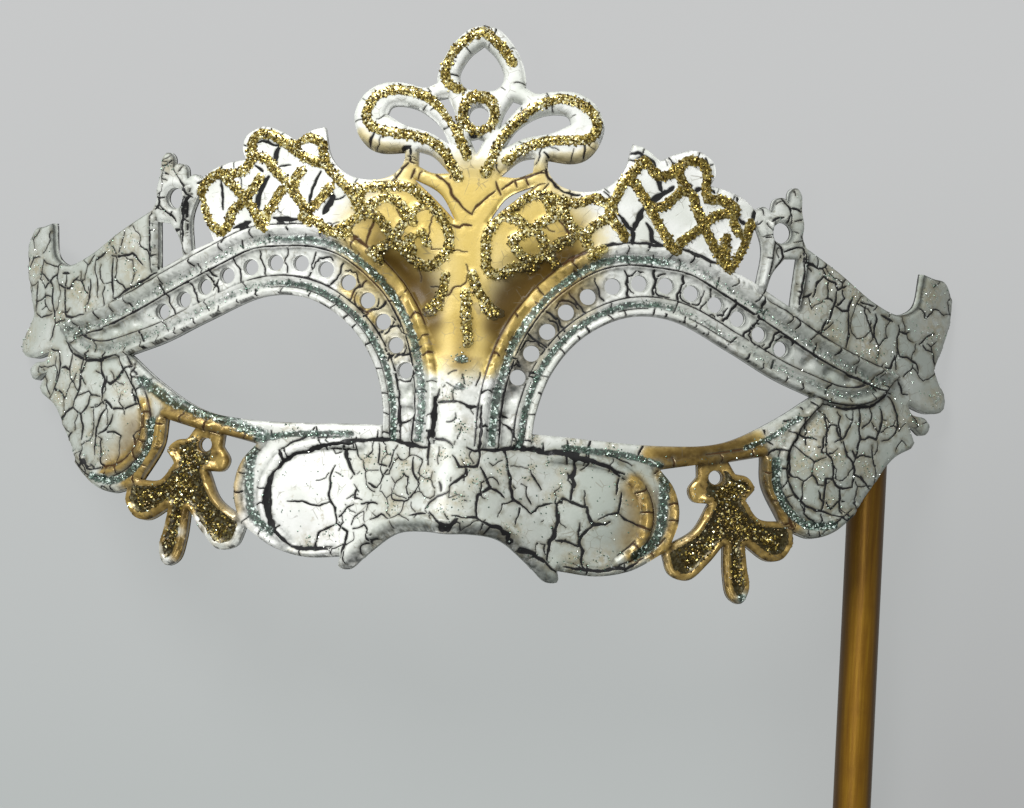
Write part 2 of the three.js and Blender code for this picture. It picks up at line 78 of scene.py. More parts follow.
# Half outline on the +X side, as runs of smooth curve that meet at corners
HALF_OUTLINE = [
    [(0, 71.6), (2.8, 70.7), (5.4, 68.2), (7.4, 64.9), (8.4, 61.5), (8.4, 59.9)],
    [(8.4, 59.9), (10.6, 58.9), (13.2, 59.4), (16.2, 59.7), (19.4, 59.1), (22.2, 57), (23.8, 53.2),
     (22.9, 49.5), (20.8, 47), (18.2, 46.1), (13.6, 46.4)],
    [(13.6, 46.4), (13.8, 44.2), (16, 41.8), (20.2, 40.8), (24.6, 41.8), (27.8, 44.9), (29.3, 50.4)],
    [(29.3, 50.4), (31.6, 49.8), (34.7, 47.6)],
    [(34.7, 47.6), (38, 49.3), (41.6, 50), (44.8, 48), (45.3, 45.6), (44.5, 43.6)],
    [(44.5, 43.6), (47.4, 43), (50.8, 41.7), (53.4, 39.6)],
    [(53.4, 39.6), (54.9, 40.5), (56.5, 39.6)],
    [(56.5, 39.6), (57, 41.9), (58.6, 42.5), (59.7, 41.6)],
    [(59.7, 41.6), (59.8, 43.7), (61, 44.6), (62.1, 43.4), (62.4, 40.2), (63, 37.6), (62.9, 35.2),
     (63.7, 33.4)],
    [(63.7, 33.4), (70.5, 29.3), (78.3, 24.1), (83.6, 22.3), (87.2, 24.1), (88.4, 30.8)],
    [(88.4, 30.8), (90.8, 30.2), (93.2, 29.8), (95, 26.4), (94.8, 20.8), (92, 12.2)],
    [(92, 12.2), (93.2, 9.6), (94.9, 6.2), (94.2, 4), (91.4, 3.4), (86.6, 4.8)],
    [(86.6, 4.8), (87.6, 3), (90.6, 2.3), (91.6, 0.4), (90.4, -1), (88.4, 0.3), (86.8, 0.5)],
    [(86.8, 0.5), (87.7, -0.9), (88.3, -2.7), (87.7, -3.7)],
    [(87.7, -3.7), (84, -5.8), (79.6, -11.8), (75.4, -17.7), (71.4, -20.9), (67.8, -21.8), (64.1, -20.7)],
    [(64.1, -20.7), (64.3, -23.2), (62.5, -26), (59.6, -26.4), (55.2, -23.7)],
    [(55.2, -23.7), (55.9, -28), (56.5, -32), (55, -34.7), (52.6, -33.6), (51.5, -29.6), (51.1, -24)],
    [(51.1, -24), (48.4, -27.6), (44.8, -30.9), (41.2, -30), (39.6, -26.2)],
    [(39.6, -26.2), (33.8, -29.8), (27.4, -31.1), (20.9, -30.3)],
    [(20.9, -30.3), (21, -32.4), (19.4, -32.4), (15.4, -28.4), (10.4, -24.5), (5.2, -23.5), (0, -23.5)],
]
EYE_UPPER_EDGE = [
    (14.2, -5.2), (14.5, -1.8), (16.9, 6.2), (22.2, 13.2), (30.4, 17.7), (39, 17.7), (50.5, 12.4),
    (59.3, 7.9), (66.8, 5.1),
]
SIDE_WINDOWS = {
    "eye": [
        EYE_UPPER_EDGE, [(66.8, 5.1), (59.4, 0), (50, -4.7), (39, -6), (14.2, -5.2)],
    ],
    "nose": [
        [(38.2, -10.5), (41.1, -14), (42.5, -19), (41.2, -24.1)],
        [(41.2, -24.1), (45.2, -21.4), (47.9, -16.3)],
        [(47.9, -16.3), (44.9, -16), (43.9, -13.9), (45.5, -11.4)], [(45.5, -11.4), (45.3, -9.1)],
        [(45.3, -9.1), (38.2, -10.5)],
    ],
    "cheek": [
        [(51.2, -8.3), (57.5, -6.9)], [(57.5, -6.9), (58, -12.2), (61.7, -18.9)],
        [(61.7, -18.9), (57.6, -18.6), (54.8, -15.3)],
        [(54.8, -15.3), (56.4, -13), (55, -10.9), (52.6, -10.4)], [(52.6, -10.4), (51.2, -8.3)],
    ],
    "fan": [
        [(53.6, 37.2), (55.3, 32.4), (54.7, 25.7)], [(54.7, 25.7), (50.1, 27.8)],
        [(50.1, 27.8), (52.4, 32.6), (53.6, 37.2)],
    ],
    "spire": [
        [(59.5, 30.9), (62.3, 31.1)], [(62.3, 31.1), (61.6, 21.7)], [(61.6, 21.7), (56.4, 24.6)],
        [(56.4, 24.6), (57.4, 28), (59.5, 30.9)],
    ],
    "wedge": [
        [(6.2, 57.3), (8, 56.8)], [(8, 56.8), (6, 54.4), (4, 51.8)], [(4, 51.8), (4.8, 54.8), (6.2, 57.3)],
    ],
    "loop": [
        [(5.2, 48.3), (7.4, 51.8), (12, 54.8), (16.6, 55), (17.5, 53.4)],
        [(17.5, 53.4), (14, 51.6), (9, 50.3), (5.2, 48.3)],
    ],
    "neck": [
        [(11, 46.7), (8.4, 46), (4.8, 42.8)], [(4.8, 42.8), (8, 42.7), (10.9, 43.9)],
        [(10.9, 43.9), (11, 46.7)],
    ],
    "shoulder": [
        [(11.6, 41.5), (6.4, 38.9), (3.1, 33.9)], [(3.1, 33.9), (6.9, 37.5), (11.6, 41.5)],
    ],
}
CENTRE_WINDOWS = [
    [
        [(0, 67.6), (2.6, 65.2), (4.2, 61.4), (3, 59.3), (0, 58.8)],
        [(0, 58.8), (-3, 59.3), (-4.2, 61.4), (-2.6, 65.2), (0, 67.6)],
    ],
    [
        [(0, 49.8), (1.3, 49.4)], [(1.3, 49.4), (0, 46.8)], [(0, 46.8), (-1.3, 49.4)],
        [(-1.3, 49.4), (0, 49.8)],
    ],
]
SIDE_HOLES = [(58.8, 35.8, 2.0), (48.9, -11.3, 1.35)]
RING = (0, 54, 1.9)

# Eye band: its outer edge, the two ends of its inner edge and the line of its round holes. Between these
# ends the inner edge is the eye's upper edge.
BAND_TOP = [
    (3.9, -8), (3.9, -1.5), (4.7, 5), (7.2, 13.4), (11.4, 20.4), (16.4, 25.6), (22.6, 29.7), (29, 31.5),
    (36.5, 31.4), (43, 30.4), (50, 26.9), (60, 21.3), (70, 15.7), (77, 12.8), (83.6, 10.6),
]
BAND_START = (13.9, -8)
BAND_TAIL = [
    (66.8, 5.1), (71, 3.9), (75.4, 3.9), (79.4, 5.4), (82, 8), (83.6, 10.6),
]
STRIP_LINE = [
    (8.8, -5), (9.6, 1.6), (12.6, 9.3), (18.8, 17.9), (27, 23.3), (37, 24.2), (46.8, 21.3), (60.2, 13.7),
    (69.3, 9.9), (77.5, 8.9),
]
# Ridges of the band: distance of their two feet from the band's edge, and height. The strip of holes is
# sunk, and the grooves between the ridges lie a little above the plain shell.
OUTER_RIDGES = [(0.0, 1.8, 1.3), (3.4, 4.6, 0.6)]
INNER_RIDGES = [(0.0, 1.05, 0.8), (2.9, 3.7, 0.6)]
STRIP_DEPTH = -0.45
GROOVE_LEVEL = 0.05
# Middles of the two grooves that hold pale glitter, from the same edges
OUTER_GROOVE = 2.9
INNER_GROOVE = 2.15
# Where the strip of holes begins, from the same edges
STRIP_FROM_OUTER = 4.85
STRIP_FROM_INNER = 3.75
# Painted shade along the band, in its grooves and at the feet of its ridges: distance of its middle from the
# same edges, reach and strength
OUTER_SHADE = [(0, 0.55, 0.85), (4.7, 0.45, 0.9), (2.5, 1.0, 0.9)]
INNER_SHADE = [(3.7, 0.4, 0.9), (2.0, 0.75, 0.8), (0, 0.5, 0.85)]

# Cracks along the feet of the ridges: distance from the band's edge, half width, and how much of them is open
OUTER_FEET = [(-0.1, 0.11, 0.85), (4.1, 0.14, 0.95)]
INNER_FEET = [(0.15, 0.1, 0.75), (1.4, 0.03, 0.3), (3.6, 0.12, 0.9)]
# Cracks across the ridges: from and to which distance, and the least step along the band
OUTER_LANES = [(0.0, 1.9, 3.0), (1.9, 4.1, 4.5)]
INNER_LANES = [(0.0, 1.4, 2.2), (1.4, 3.7, 4.5)]

# Other mouldings on the +X side: width, height and centre line
MOULDINGS = [
    (2.2, 1.0, [(18.5, -9.2), (24.5, -9.4), (30.4, -10.7), (34.6, -14), (36.5, -19), (35.4, -24.4),
                (31.4, -28.4)]),
    (1.8, 1.0, [(37.2, -9.7), (40.4, -13.6), (41.6, -19), (40.4, -24.2), (35, -28.3), (28, -30.2),
                (22, -29.6)]),
    (1.8, 1.0, [(58.5, -7.3), (59, -12.6), (62, -18), (66.8, -20.8), (71.6, -20), (75.6, -16.6)]),
    (1.8, 1.0, [(67.6, 4.2), (63, -2.4), (61.3, -8), (63, -13.9), (67, -17.5), (71.8, -18.4), (76, -15)]),
    (1.8, 1.0, [(38, -9.5), (46, -8.2), (57.6, -5.8)]),
    (1.5, 0.8, [(56.2, 37.6), (56.4, 31.4), (55.5, 25.8)]),
    (1.5, 0.8, [(63.2, 31.8), (62.9, 27), (62.3, 22.2)]),
]

# Lines of gold glitter: the crest's top and ring, then each side's own. The pendants' are on the +X side,
# for both sides.
GOLD_BOTH = [
    [(-3.6, 58.6), (-5.6, 59.2), (-6.8, 61.4), (-6, 65), (-4, 67.6), (-1.5, 69.4), (0, 69.8), (2, 68.4),
     (4, 66.4), (5.8, 64.2)],
    [(-3, 54), (-2.6, 56), (-1, 57.2), (1, 57.2), (2.6, 56), (3, 54), (2.3, 52), (0, 51), (-2.3, 52),
     (-3, 54)],
    [(-2.4, 56.6), (0, 58), (2.4, 56.6)],
]
GOLD_RIGHT = [
    [(2, 43), (2.4, 44), (3.2, 46), (4.5, 49.5), (7, 52.7), (9.5, 55.2), (12.5, 57.1), (15.5, 57.9),
     (18.8, 57.2), (21.5, 55.4), (22.4, 52.8), (21.3, 50.9), (18.5, 50.2), (15, 50), (11.5, 49.2),
     (8.5, 47.7), (5.8, 45.6)],
    [(5, 24), (3.4, 25.2), (3.2, 27), (3, 31), (3.6, 32.6), (5.6, 35.4), (8.2, 37.2), (10.4, 39.2),
     (13, 39.6), (15.6, 39), (18.6, 38.6), (20.2, 38.6), (23, 39.8), (24.4, 39), (26, 39), (27, 40.6),
     (28.2, 43.4), (30, 45.2), (31.6, 47.4), (33.4, 45.4), (34.6, 44.6), (36, 44.8), (38, 46.4), (40, 48),
     (41.2, 48), (42.6, 47.6), (43.4, 46.4), (43.6, 43.6), (44, 41), (46.6, 41), (49.4, 39.6), (49, 38),
     (49.4, 36.6), (50.2, 35)],
    [(5, 24), (6.6, 24.4), (8, 25.6), (9.4, 25.8), (12.4, 26.2)],
    [(6.6, 35.2), (9.4, 34.2), (10.4, 33.2), (12.6, 32.4), (13.8, 30.6), (15.2, 28.4), (16.6, 26.4)],
    [(10.4, 32.2), (8.4, 31.4), (8, 31), (8.4, 29.6), (9.4, 28.4), (10.8, 27.6), (13.2, 27.8), (14.4, 29)],
    [(12, 33.2), (12.8, 34.2), (15, 35.6), (17, 36.8), (17.6, 37.4)],
    [(14, 38.6), (14.8, 37), (15.8, 36.4)],
    [(17.4, 36.4), (18, 35), (20.2, 33), (21.2, 32.6), (22.4, 30.4)],
    [(21.2, 32.6), (22.8, 34.2), (25, 36), (26.4, 37.6)],
    [(19.4, 32.2), (18.6, 31.4), (17.4, 31.2), (15.8, 30)],
    [(26, 38), (26.4, 36), (27.2, 34.8), (28.4, 33.8), (28.8, 32.6)],
    [(23, 28.6), (25, 30.2)],
    [(38, 46.4), (38.4, 45), (40, 42.4), (41, 41.6), (42, 39), (43.4, 36.2), (45, 33.4), (46.8, 30.6),
     (48.8, 28)],
    [(39, 42.6), (38.4, 41.6), (36, 39.2), (33.6, 38.2), (34.8, 36), (36.4, 33.6), (37.4, 32.4)],
    [(37.2, 31.8), (38.6, 30.6), (39, 32)],
    [(43.4, 36.2), (42.4, 35), (40, 33), (39, 32)],
    [(43.4, 36.2), (45.8, 38), (48.6, 39)],
    [(48, 34), (47.8, 32.4), (48.2, 29)],
    [(52.4, 37.2), (51.8, 33.6), (50.4, 30.2), (49.4, 28.4)],
    [(28.6, 43.4), (30, 43), (31.8, 40.6), (33.4, 38.2)],
    [(0.8, 24), (1.8, 21.4), (3.4, 19), (5.2, 17.4), (6.4, 16.8)],
    [(3.4, 18), (5.4, 16.4)],
    [(-0.3, 20.4), (0.1, 17), (0.5, 14), (0.9, 11)],
]
GOLD_LEFT = [
    [(-1.6, 46), (-3, 49), (-4.6, 52), (-7, 54.8), (-10, 56.8), (-13, 57.8), (-16.5, 57.8), (-19.3, 56.6),
     (-21, 54.2), (-20.8, 51.6), (-18.5, 50.2), (-15, 49.7), (-11, 49.2), (-8, 48.1), (-6, 46.4),
     (-4.4, 44.4), (-3, 42)],
    [(-48.4, 29.4), (-51, 31.4), (-52.8, 35), (-53.1, 37), (-51.4, 39.6), (-49.6, 40.6), (-46, 40.8),
     (-43.4, 43), (-43.2, 47), (-42, 48.4), (-39.4, 48.4), (-36.8, 47), (-35.2, 46.6), (-32.4, 48.2),
     (-31, 48), (-29.6, 47.2), (-28.8, 44.2), (-27.6, 42.2), (-24.8, 39.6), (-23.4, 38.8), (-20, 39.2),
     (-16.8, 39.8), (-12.2, 39.6), (-9.6, 38), (-6.8, 35.6), (-4.6, 32.6), (-4, 31), (-4, 29), (-4.8, 27.2),
     (-6.4, 25.6), (-8, 25), (-11, 26.4), (-14, 29.4), (-16.2, 32), (-18.4, 34.2), (-21.4, 35),
     (-22.4, 36.8), (-23.4, 38.2)],
    [(-35.2, 46.6), (-34.6, 45.6), (-31.2, 43.8), (-29.4, 43.4)],
    [(-43.2, 44.2), (-41.6, 44.2), (-40.2, 43.8), (-38, 41.4), (-35.6, 39.2), (-33.4, 36.4), (-31.6, 34.2),
     (-31.2, 32.6)],
    [(-34.4, 39), (-34, 40.8), (-33, 41.8)],
    [(-31.6, 34.2), (-29.4, 36.2), (-27.4, 39)],
    [(-32.4, 33), (-31.2, 32.4), (-29.6, 32.4), (-27.4, 30.8), (-24, 30), (-23.2, 30.4)],
    [(-48, 39.8), (-46, 38), (-43, 35), (-41.2, 32.6), (-39.4, 30.6)],
    [(-41.4, 33), (-40.4, 31.2), (-39.4, 32.6)],
    [(-41.2, 40.2), (-43, 37.2), (-45.2, 34.6), (-46.4, 33.8), (-47, 31), (-47.8, 29.8)],
    [(-36.8, 38), (-38.4, 35), (-39.4, 33.6)],
    [(-21.6, 38.6), (-21, 36), (-19.4, 36), (-17, 37.4), (-15.4, 37.4), (-13, 35.8), (-12.4, 34.4),
     (-13.2, 32.2), (-14.4, 30)],
    [(-11, 33.2), (-11.6, 34.4), (-10, 36.2), (-8.4, 36.6)],
    [(-9.4, 31.4), (-8, 29.4)],
    [(-11.2, 30.2), (-12, 29), (-10.8, 28.2)],
    [(-25.4, 31), (-24, 31.6), (-21.6, 33.6), (-20, 34.2)],
    [(-17, 25.6), (-18.8, 27.2), (-17.4, 27.6), (-15, 29.4)],
    [(-4.2, 23.4), (-4.6, 20.4), (-5.8, 18.2), (-7.4, 16.4)],
    [(-5, 18), (-6.6, 16.4)],
]
PENDANT_LINES = [
    [(49.6, -13.4), (51.6, -16.8), (52.9, -20.4), (53.4, -25), (54.2, -31.6)],
    [(52.4, -18.6), (49.6, -21.8), (47, -25.2), (43.4, -28)],
    [(53.2, -18.4), (57, -21.8), (61.6, -23.4)],
    [(49.8, -14.4), (51.6, -12.8), (53.6, -13.6), (56, -14.4)],
]
GOLD_HALF_WIDTH = 1.05

# Beds of fine pale glitter, on the +X side, with their half width
FROST_LINES = [
    (1.1, [(60, -7.4), (60.4, -12.5), (63.3, -17.2), (67.3, -19.6), (71.5, -19.2)]),
    (1.3, [(39, -11.5), (39.3, -15), (39.2, -19), (38.1, -24), (34.5, -26.8)]),
    (0.9, [(0.1, 8), (0.6, 7.8)]),
    (0.8, [(0.1, 2.9), (0.5, 2.6)]),
    (0.8, [(20, -7.4), (32, -8.2), (38, -9.6)]),
]
FROST_RIGHT = [(0.7, [(54, -5.4), (59, -3), (64, 0.8)]), (1.0, [(54.8, -33.6), (55.6, -34.2)])]
FROST_LEFT = [(1.5, [(37, -8.8), (46, -6), (56, -3.4), (63, 0.2)])]

# The stretch of the band's strip of holes that is painted darker grey
GREY_STRIP = [(9.6, 4), (12.8, 10), (18.8, 17.9), (23, 21.4)]

# Sprayed gold on both sides, the right alone and the left alone: radius, strength, line on the +X side
GOLD_SPRAY = [
    (6.6, 1.0, [(0, 38.5), (0, 14)]),
    (3.6, 0.8, [(0, 15), (0, 8)]),
    (7.5, 1.0, [(6, 37), (12, 28), (16, 25)]),
    (6.5, 0.9, [(13, 37), (19, 31)]),
    (3.0, 0.5, [(4, 40), (12, 43.5)]),
    (1.6, 0.5, [(14.5, 46.4), (19, 46.9), (22, 49)]),
    (1.3, 1.0, [(5, 6), (8, 13), (12.2, 19.9), (15.5, 23.6)]),
    (1.4, 0.55, [(15.5, 23.6), (19.5, 26.6)]),
    (1.4, 0.25, [(19.5, 26.6), (24, 29.2)]),
    (3.2, 0.25, [(13, 8), (17, 15), (22, 19)]),
    (4.0, 0.95, [(5.5, 9.5), (8.5, 15), (12, 21)]),
    (7.0, 1.0, [(48.8, -13), (53.4, -22), (54.4, -34)]),
    (3.6, 1.0, [(46, -13), (50, -11.5), (56.5, -13.5)]),
    (5.0, 1.0, [(43.4, -28), (50, -22)]),
    (5.0, 1.0, [(56, -20), (62, -24)]),
    (1.7, 1.0, [(40, -9.2), (46, -8.2), (57, -6)]),
    (1.4, 1.0, [(58.4, -8), (58.9, -12.6), (61.6, -17.6), (64, -19.4)]),
]
GOLD_SPRAY_RIGHT = [
    (1.5, 1.0, [(38.4, -11), (40.8, -14), (41.6, -19), (40.6, -24), (38, -26.4)]),
    (1.7, 1.0, [(33.6, -13), (35.8, -16.4), (36.6, -20), (36, -24), (34.2, -27)]),
    (4.0, 0.42, [(33.4, -15), (34.6, -19), (33.4, -24)]),
    (2.2, 0.8, [(36, -7.4), (46, -6.4), (56, -3.6)]),
]
GOLD_SPRAY_LEFT = [
    (1.2, 0.5, [(38.4, -11), (40.8, -14), (41.6, -19), (40.8, -23)]),
    (0.9, 0.6, [(17, 14), (20, 17.4), (23.5, 20)]),
    (1.6, 1.0, [(62, -4.4), (61.6, -9), (62.8, -13), (65.6, -16), (69, -17.6)]),
    (3.4, 0.36, [(65, -8), (65, -11.6), (67.4, -14.4)]),
    (1.6, 0.6, [(46, -7), (56, -4.4), (60, -1.6)]),
]
# Spots where the gilding is worn down to the white: true x, y and radius
WORN_SPOTS = [
    (-56.4, -31.8, 1.6), (-54.4, -34, 1.8), (-52.7, -28.2, 1.3), (-55.9, -27.2, 1.0), (55.2, -33.8, 2.0),
    (-48.6, -25.8, 1.8), (-46.4, -28.6, 1.8), (-43.8, -30.6, 2.0), (-40.8, -29.4, 1.8), (-40.4, -26.8, 1.4),
]

# Brown inside the gold: partly brown paint, partly painted shade in its hollows and on the lower parts
UMBER_AND_SHADE_SPRAY = [
    (4.6, 1.0, [(9, 19.5), (13, 24.5), (17, 26.6)]),
    (2.6, 0.85, [(5.6, 14.5), (6.6, 18.5), (8.6, 22.4)]),
    (3.2, 0.5, [(17, 31), (20, 34)]),
    (3.2, 0.65, [(0, 15), (0, 7)]),
    (2.4, 0.7, [(5.4, 10), (7.4, 15)]),
    (6.0, 0.3, [(50, -14), (54, -33)]),
    (5.0, 0.25, [(44, -27), (50, -22)]),
    (5.0, 0.25, [(56, -20), (61, -23)]),
    (1.7, 0.45, [(40, -9.2), (46, -8.2), (57, -6)]),
]
UMBER_AND_SHADE_SPRAY_RIGHT = [
    (3.6, 1.0, [(6.5, 15), (9.5, 20.5), (14, 25), (19, 28.5)]),
    (2.6, 0.65, [(9.6, 4), (12.8, 10), (18.8, 17.9), (24, 22)]),
    (2.4, 0.35, [(33, -15.5), (34, -19), (33, -23)]),
    (1.1, 0.7, [(37.9, -15), (38.3, -19), (37.4, -24)]),
    (1.5, 0.7, [(57.8, -8), (58.2, -13), (60.8, -18)]),
    (1.2, 0.35, [(40, -9.8), (57, -6.4)]),
    (1.7, 0.8, [(38, -7.8), (48, -6), (55, -3.8)]),
]
UMBER_AND_SHADE_SPRAY_LEFT = [
    (1.8, 1.0, [(52.8, -24.4), (54.2, -29), (55, -32)]),
    (0.9, 0.9, [(19.4, 16.6), (20.2, 15.8)]),
    (0.9, 0.9, [(16.6, 13.4), (17.1, 12.2)]),
    (2.2, 0.5, [(64.2, -9), (65, -13.4)]),
    (1.0, 0.6, [(60.3, -6), (60.6, -12), (64, -17.6)]),
]

# Single cracks, black in the white paint: half width and line. They open wider by these two numbers.
CRACK_WIDEN = 1.1
CRACK_LEAST = 0.045
FAN_CRACKS = [
    (0.15, [(-42.2, 46.8), (-41.2, 47.3), (-40, 47), (-38.8, 46.4), (-37.6, 46.5)]),
    (0.3, [(-37.8, 46.4), (-38.4, 45), (-38.4, 43.4), (-38, 42.4)]),
    (0.06, [(-37.6, 42.4), (-36.6, 42.6), (-35.4, 42.8)]),
    (0.3, [(-42.4, 42.4), (-41.6, 42), (-40.8, 41.4)]),
    (0.42, [(-39.6, 40.4), (-40.4, 39.4), (-41, 38), (-41.4, 36.4), (-41.2, 34)]),
    (0.2, [(-49.4, 42.4), (-49.4, 41.2)]),
    (0.15, [(-49.2, 39.8), (-48.8, 38), (-48.6, 36.2), (-48.4, 33.8)]),
    (0.2, [(-29.4, 41.8), (-30.2, 40.2), (-30.8, 38.6), (-31.2, 36.6), (-31.4, 35)]),
    (0.45, [(-27, 38.2), (-26.8, 37), (-27.6, 35.4), (-28.4, 33.8)]),
    (0.35, [(-38, 32.6), (-36, 32.5), (-33, 32.6)]),
    (0.32, [(-46, 30.3), (-44.4, 30.8), (-42.6, 31.7)]),
    (0.15, [(-42, 49.8), (-41.8, 49.2)]),
    (0.2, [(-44.6, 45), (-43.8, 45.1)]),
    (0.12, [(-37.2, 49.1), (-37.6, 48.4)]),
    (0.3, [(-47.8, 28.4), (-47.7, 27.4)]),
    (0.15, [(-55, 36.6), (-55.8, 35), (-56.3, 30), (-56, 27.4)]),
    (0.2, [(-54, 38.7), (-52.4, 39)]),
    (0.08, [(-26.8, 36.5), (-25.4, 36.8), (-24.4, 37.5)]),
    (0.08, [(-18.4, 33.2), (-19.1, 31.4), (-19.7, 28.4)]),
    (0.2, [(-22.6, 30.1), (-21, 29.1), (-19.8, 28.3)]),
    (0.2, [(-27.8, 31.8), (-26.4, 31), (-24, 30.6)]),
    (0.2, [(-14.6, 46.2), (-13.6, 47), (-12.4, 47.3)]),
    (0.12, [(-12.6, 47.4), (-12.3, 46.4), (-12.4, 45.4), (-12.1, 44.4)]),
    (0.12, [(-12.4, 44.6), (-13.6, 43.4), (-14.4, 42), (-15.6, 40.6)]),
    (0.1, [(-15.2, 43.8), (-14, 43.3)]),
    (0.1, [(-12, 44.4), (-10, 43.2), (-7, 42.2), (-4.8, 40.6), (-4, 38.6), (-2.2, 36.8), (0, 35.2)]),
    (0.1, [(-11.4, 43.2), (-12, 41.4)]),
    (0.12, [(-3.6, 33), (-2.2, 32.6), (-1.6, 33.2), (0, 33.1)]),
    (0.3, [(27.6, 36.8), (28.8, 35.4), (30.2, 34)]),
    (0.45, [(30.4, 31.6), (30.4, 33.6), (31, 35.6), (31.8, 38), (32.6, 39.2)]),
    (0.4, [(32.6, 39.6), (34, 40.2), (35.4, 41.2), (36.6, 42), (37.4, 42.8)]),
    (0.3, [(35.4, 41.6), (34.8, 43), (34.4, 44)]),
    (0.25, [(32.8, 35.6), (33.8, 34.2), (34, 32.4), (35.4, 32)]),
    (0.2, [(30.8, 31.7), (34, 31.6), (38, 32.2)]),
    (0.3, [(40, 31.2), (43.6, 30), (46.8, 29)]),
    (0.3, [(41.4, 42.2), (42.8, 43)]),
    (0.12, [(40, 43.7), (41, 43.3)]),
    (0.2, [(28.8, 48.5), (30.6, 48.9), (32, 48), (33.4, 47.4), (33.9, 46.4)]),
    (0.2, [(43.2, 48.7), (43.7, 47.4)]),
    (0.15, [(44.6, 42.8), (45.3, 42.2)]),
    (0.15, [(49.6, 42), (49.6, 41)]),
    (0.22, [(50, 38), (50.6, 37.2), (51.6, 36.8)]),
    (0.2, [(53.1, 39.8), (52.8, 38.2), (52.8, 37)]),
    (0.15, [(53.8, 36.6), (54.8, 33.6)]),
    (0.25, [(24, 30), (25.2, 30.8), (26.8, 31.3), (28.4, 31.4)]),
    (0.18, [(17.4, 26.8), (19.4, 28.2), (21.4, 29.2), (23.6, 30.2)]),
    (0.08, [(16.4, 35), (17.6, 34), (18.4, 32.8), (19, 30.4)]),
    (0.15, [(12.8, 47.6), (14, 46.4), (14.3, 45.4)]),
    (0.15, [(13.3, 46.2), (13.4, 44.2), (14, 42.8), (15.4, 41.4), (17, 40.4)]),
    (0.2, [(17.2, 40.4), (20, 40.1)]),
    (0.12, [(13.3, 43.8), (10.2, 43), (8.8, 42.6), (7, 41.6), (5.4, 40.3)]),
    (0.08, [(9.8, 44.2), (9.9, 42.8)]),
    (0.08, [(14, 41.8), (13, 40.4)]),
    (0.1, [(4, 39.8), (2, 38), (0, 35.4)]),
    (0.08, [(4.1, 41.6), (5.2, 39.2)]),
    (0.16, [(-20.4, 46.4), (-20, 48.4), (-19.4, 49.6)]),
    (0.12, [(20.2, 46.8), (20.4, 48.6), (20.2, 50)]),
    (0.4, [(0.4, 49.9), (-1.4, 50.1)]),
    (0.35, [(-1, 71.3), (1.4, 71.2)]),
    (0.17, [(64, 18.9), (66, 17.6), (69.5, 16)]),
    (0.15, [(-61.6, 21.2), (-64, 19.8), (-67, 18.1), (-70.8, 15.8)]),
]
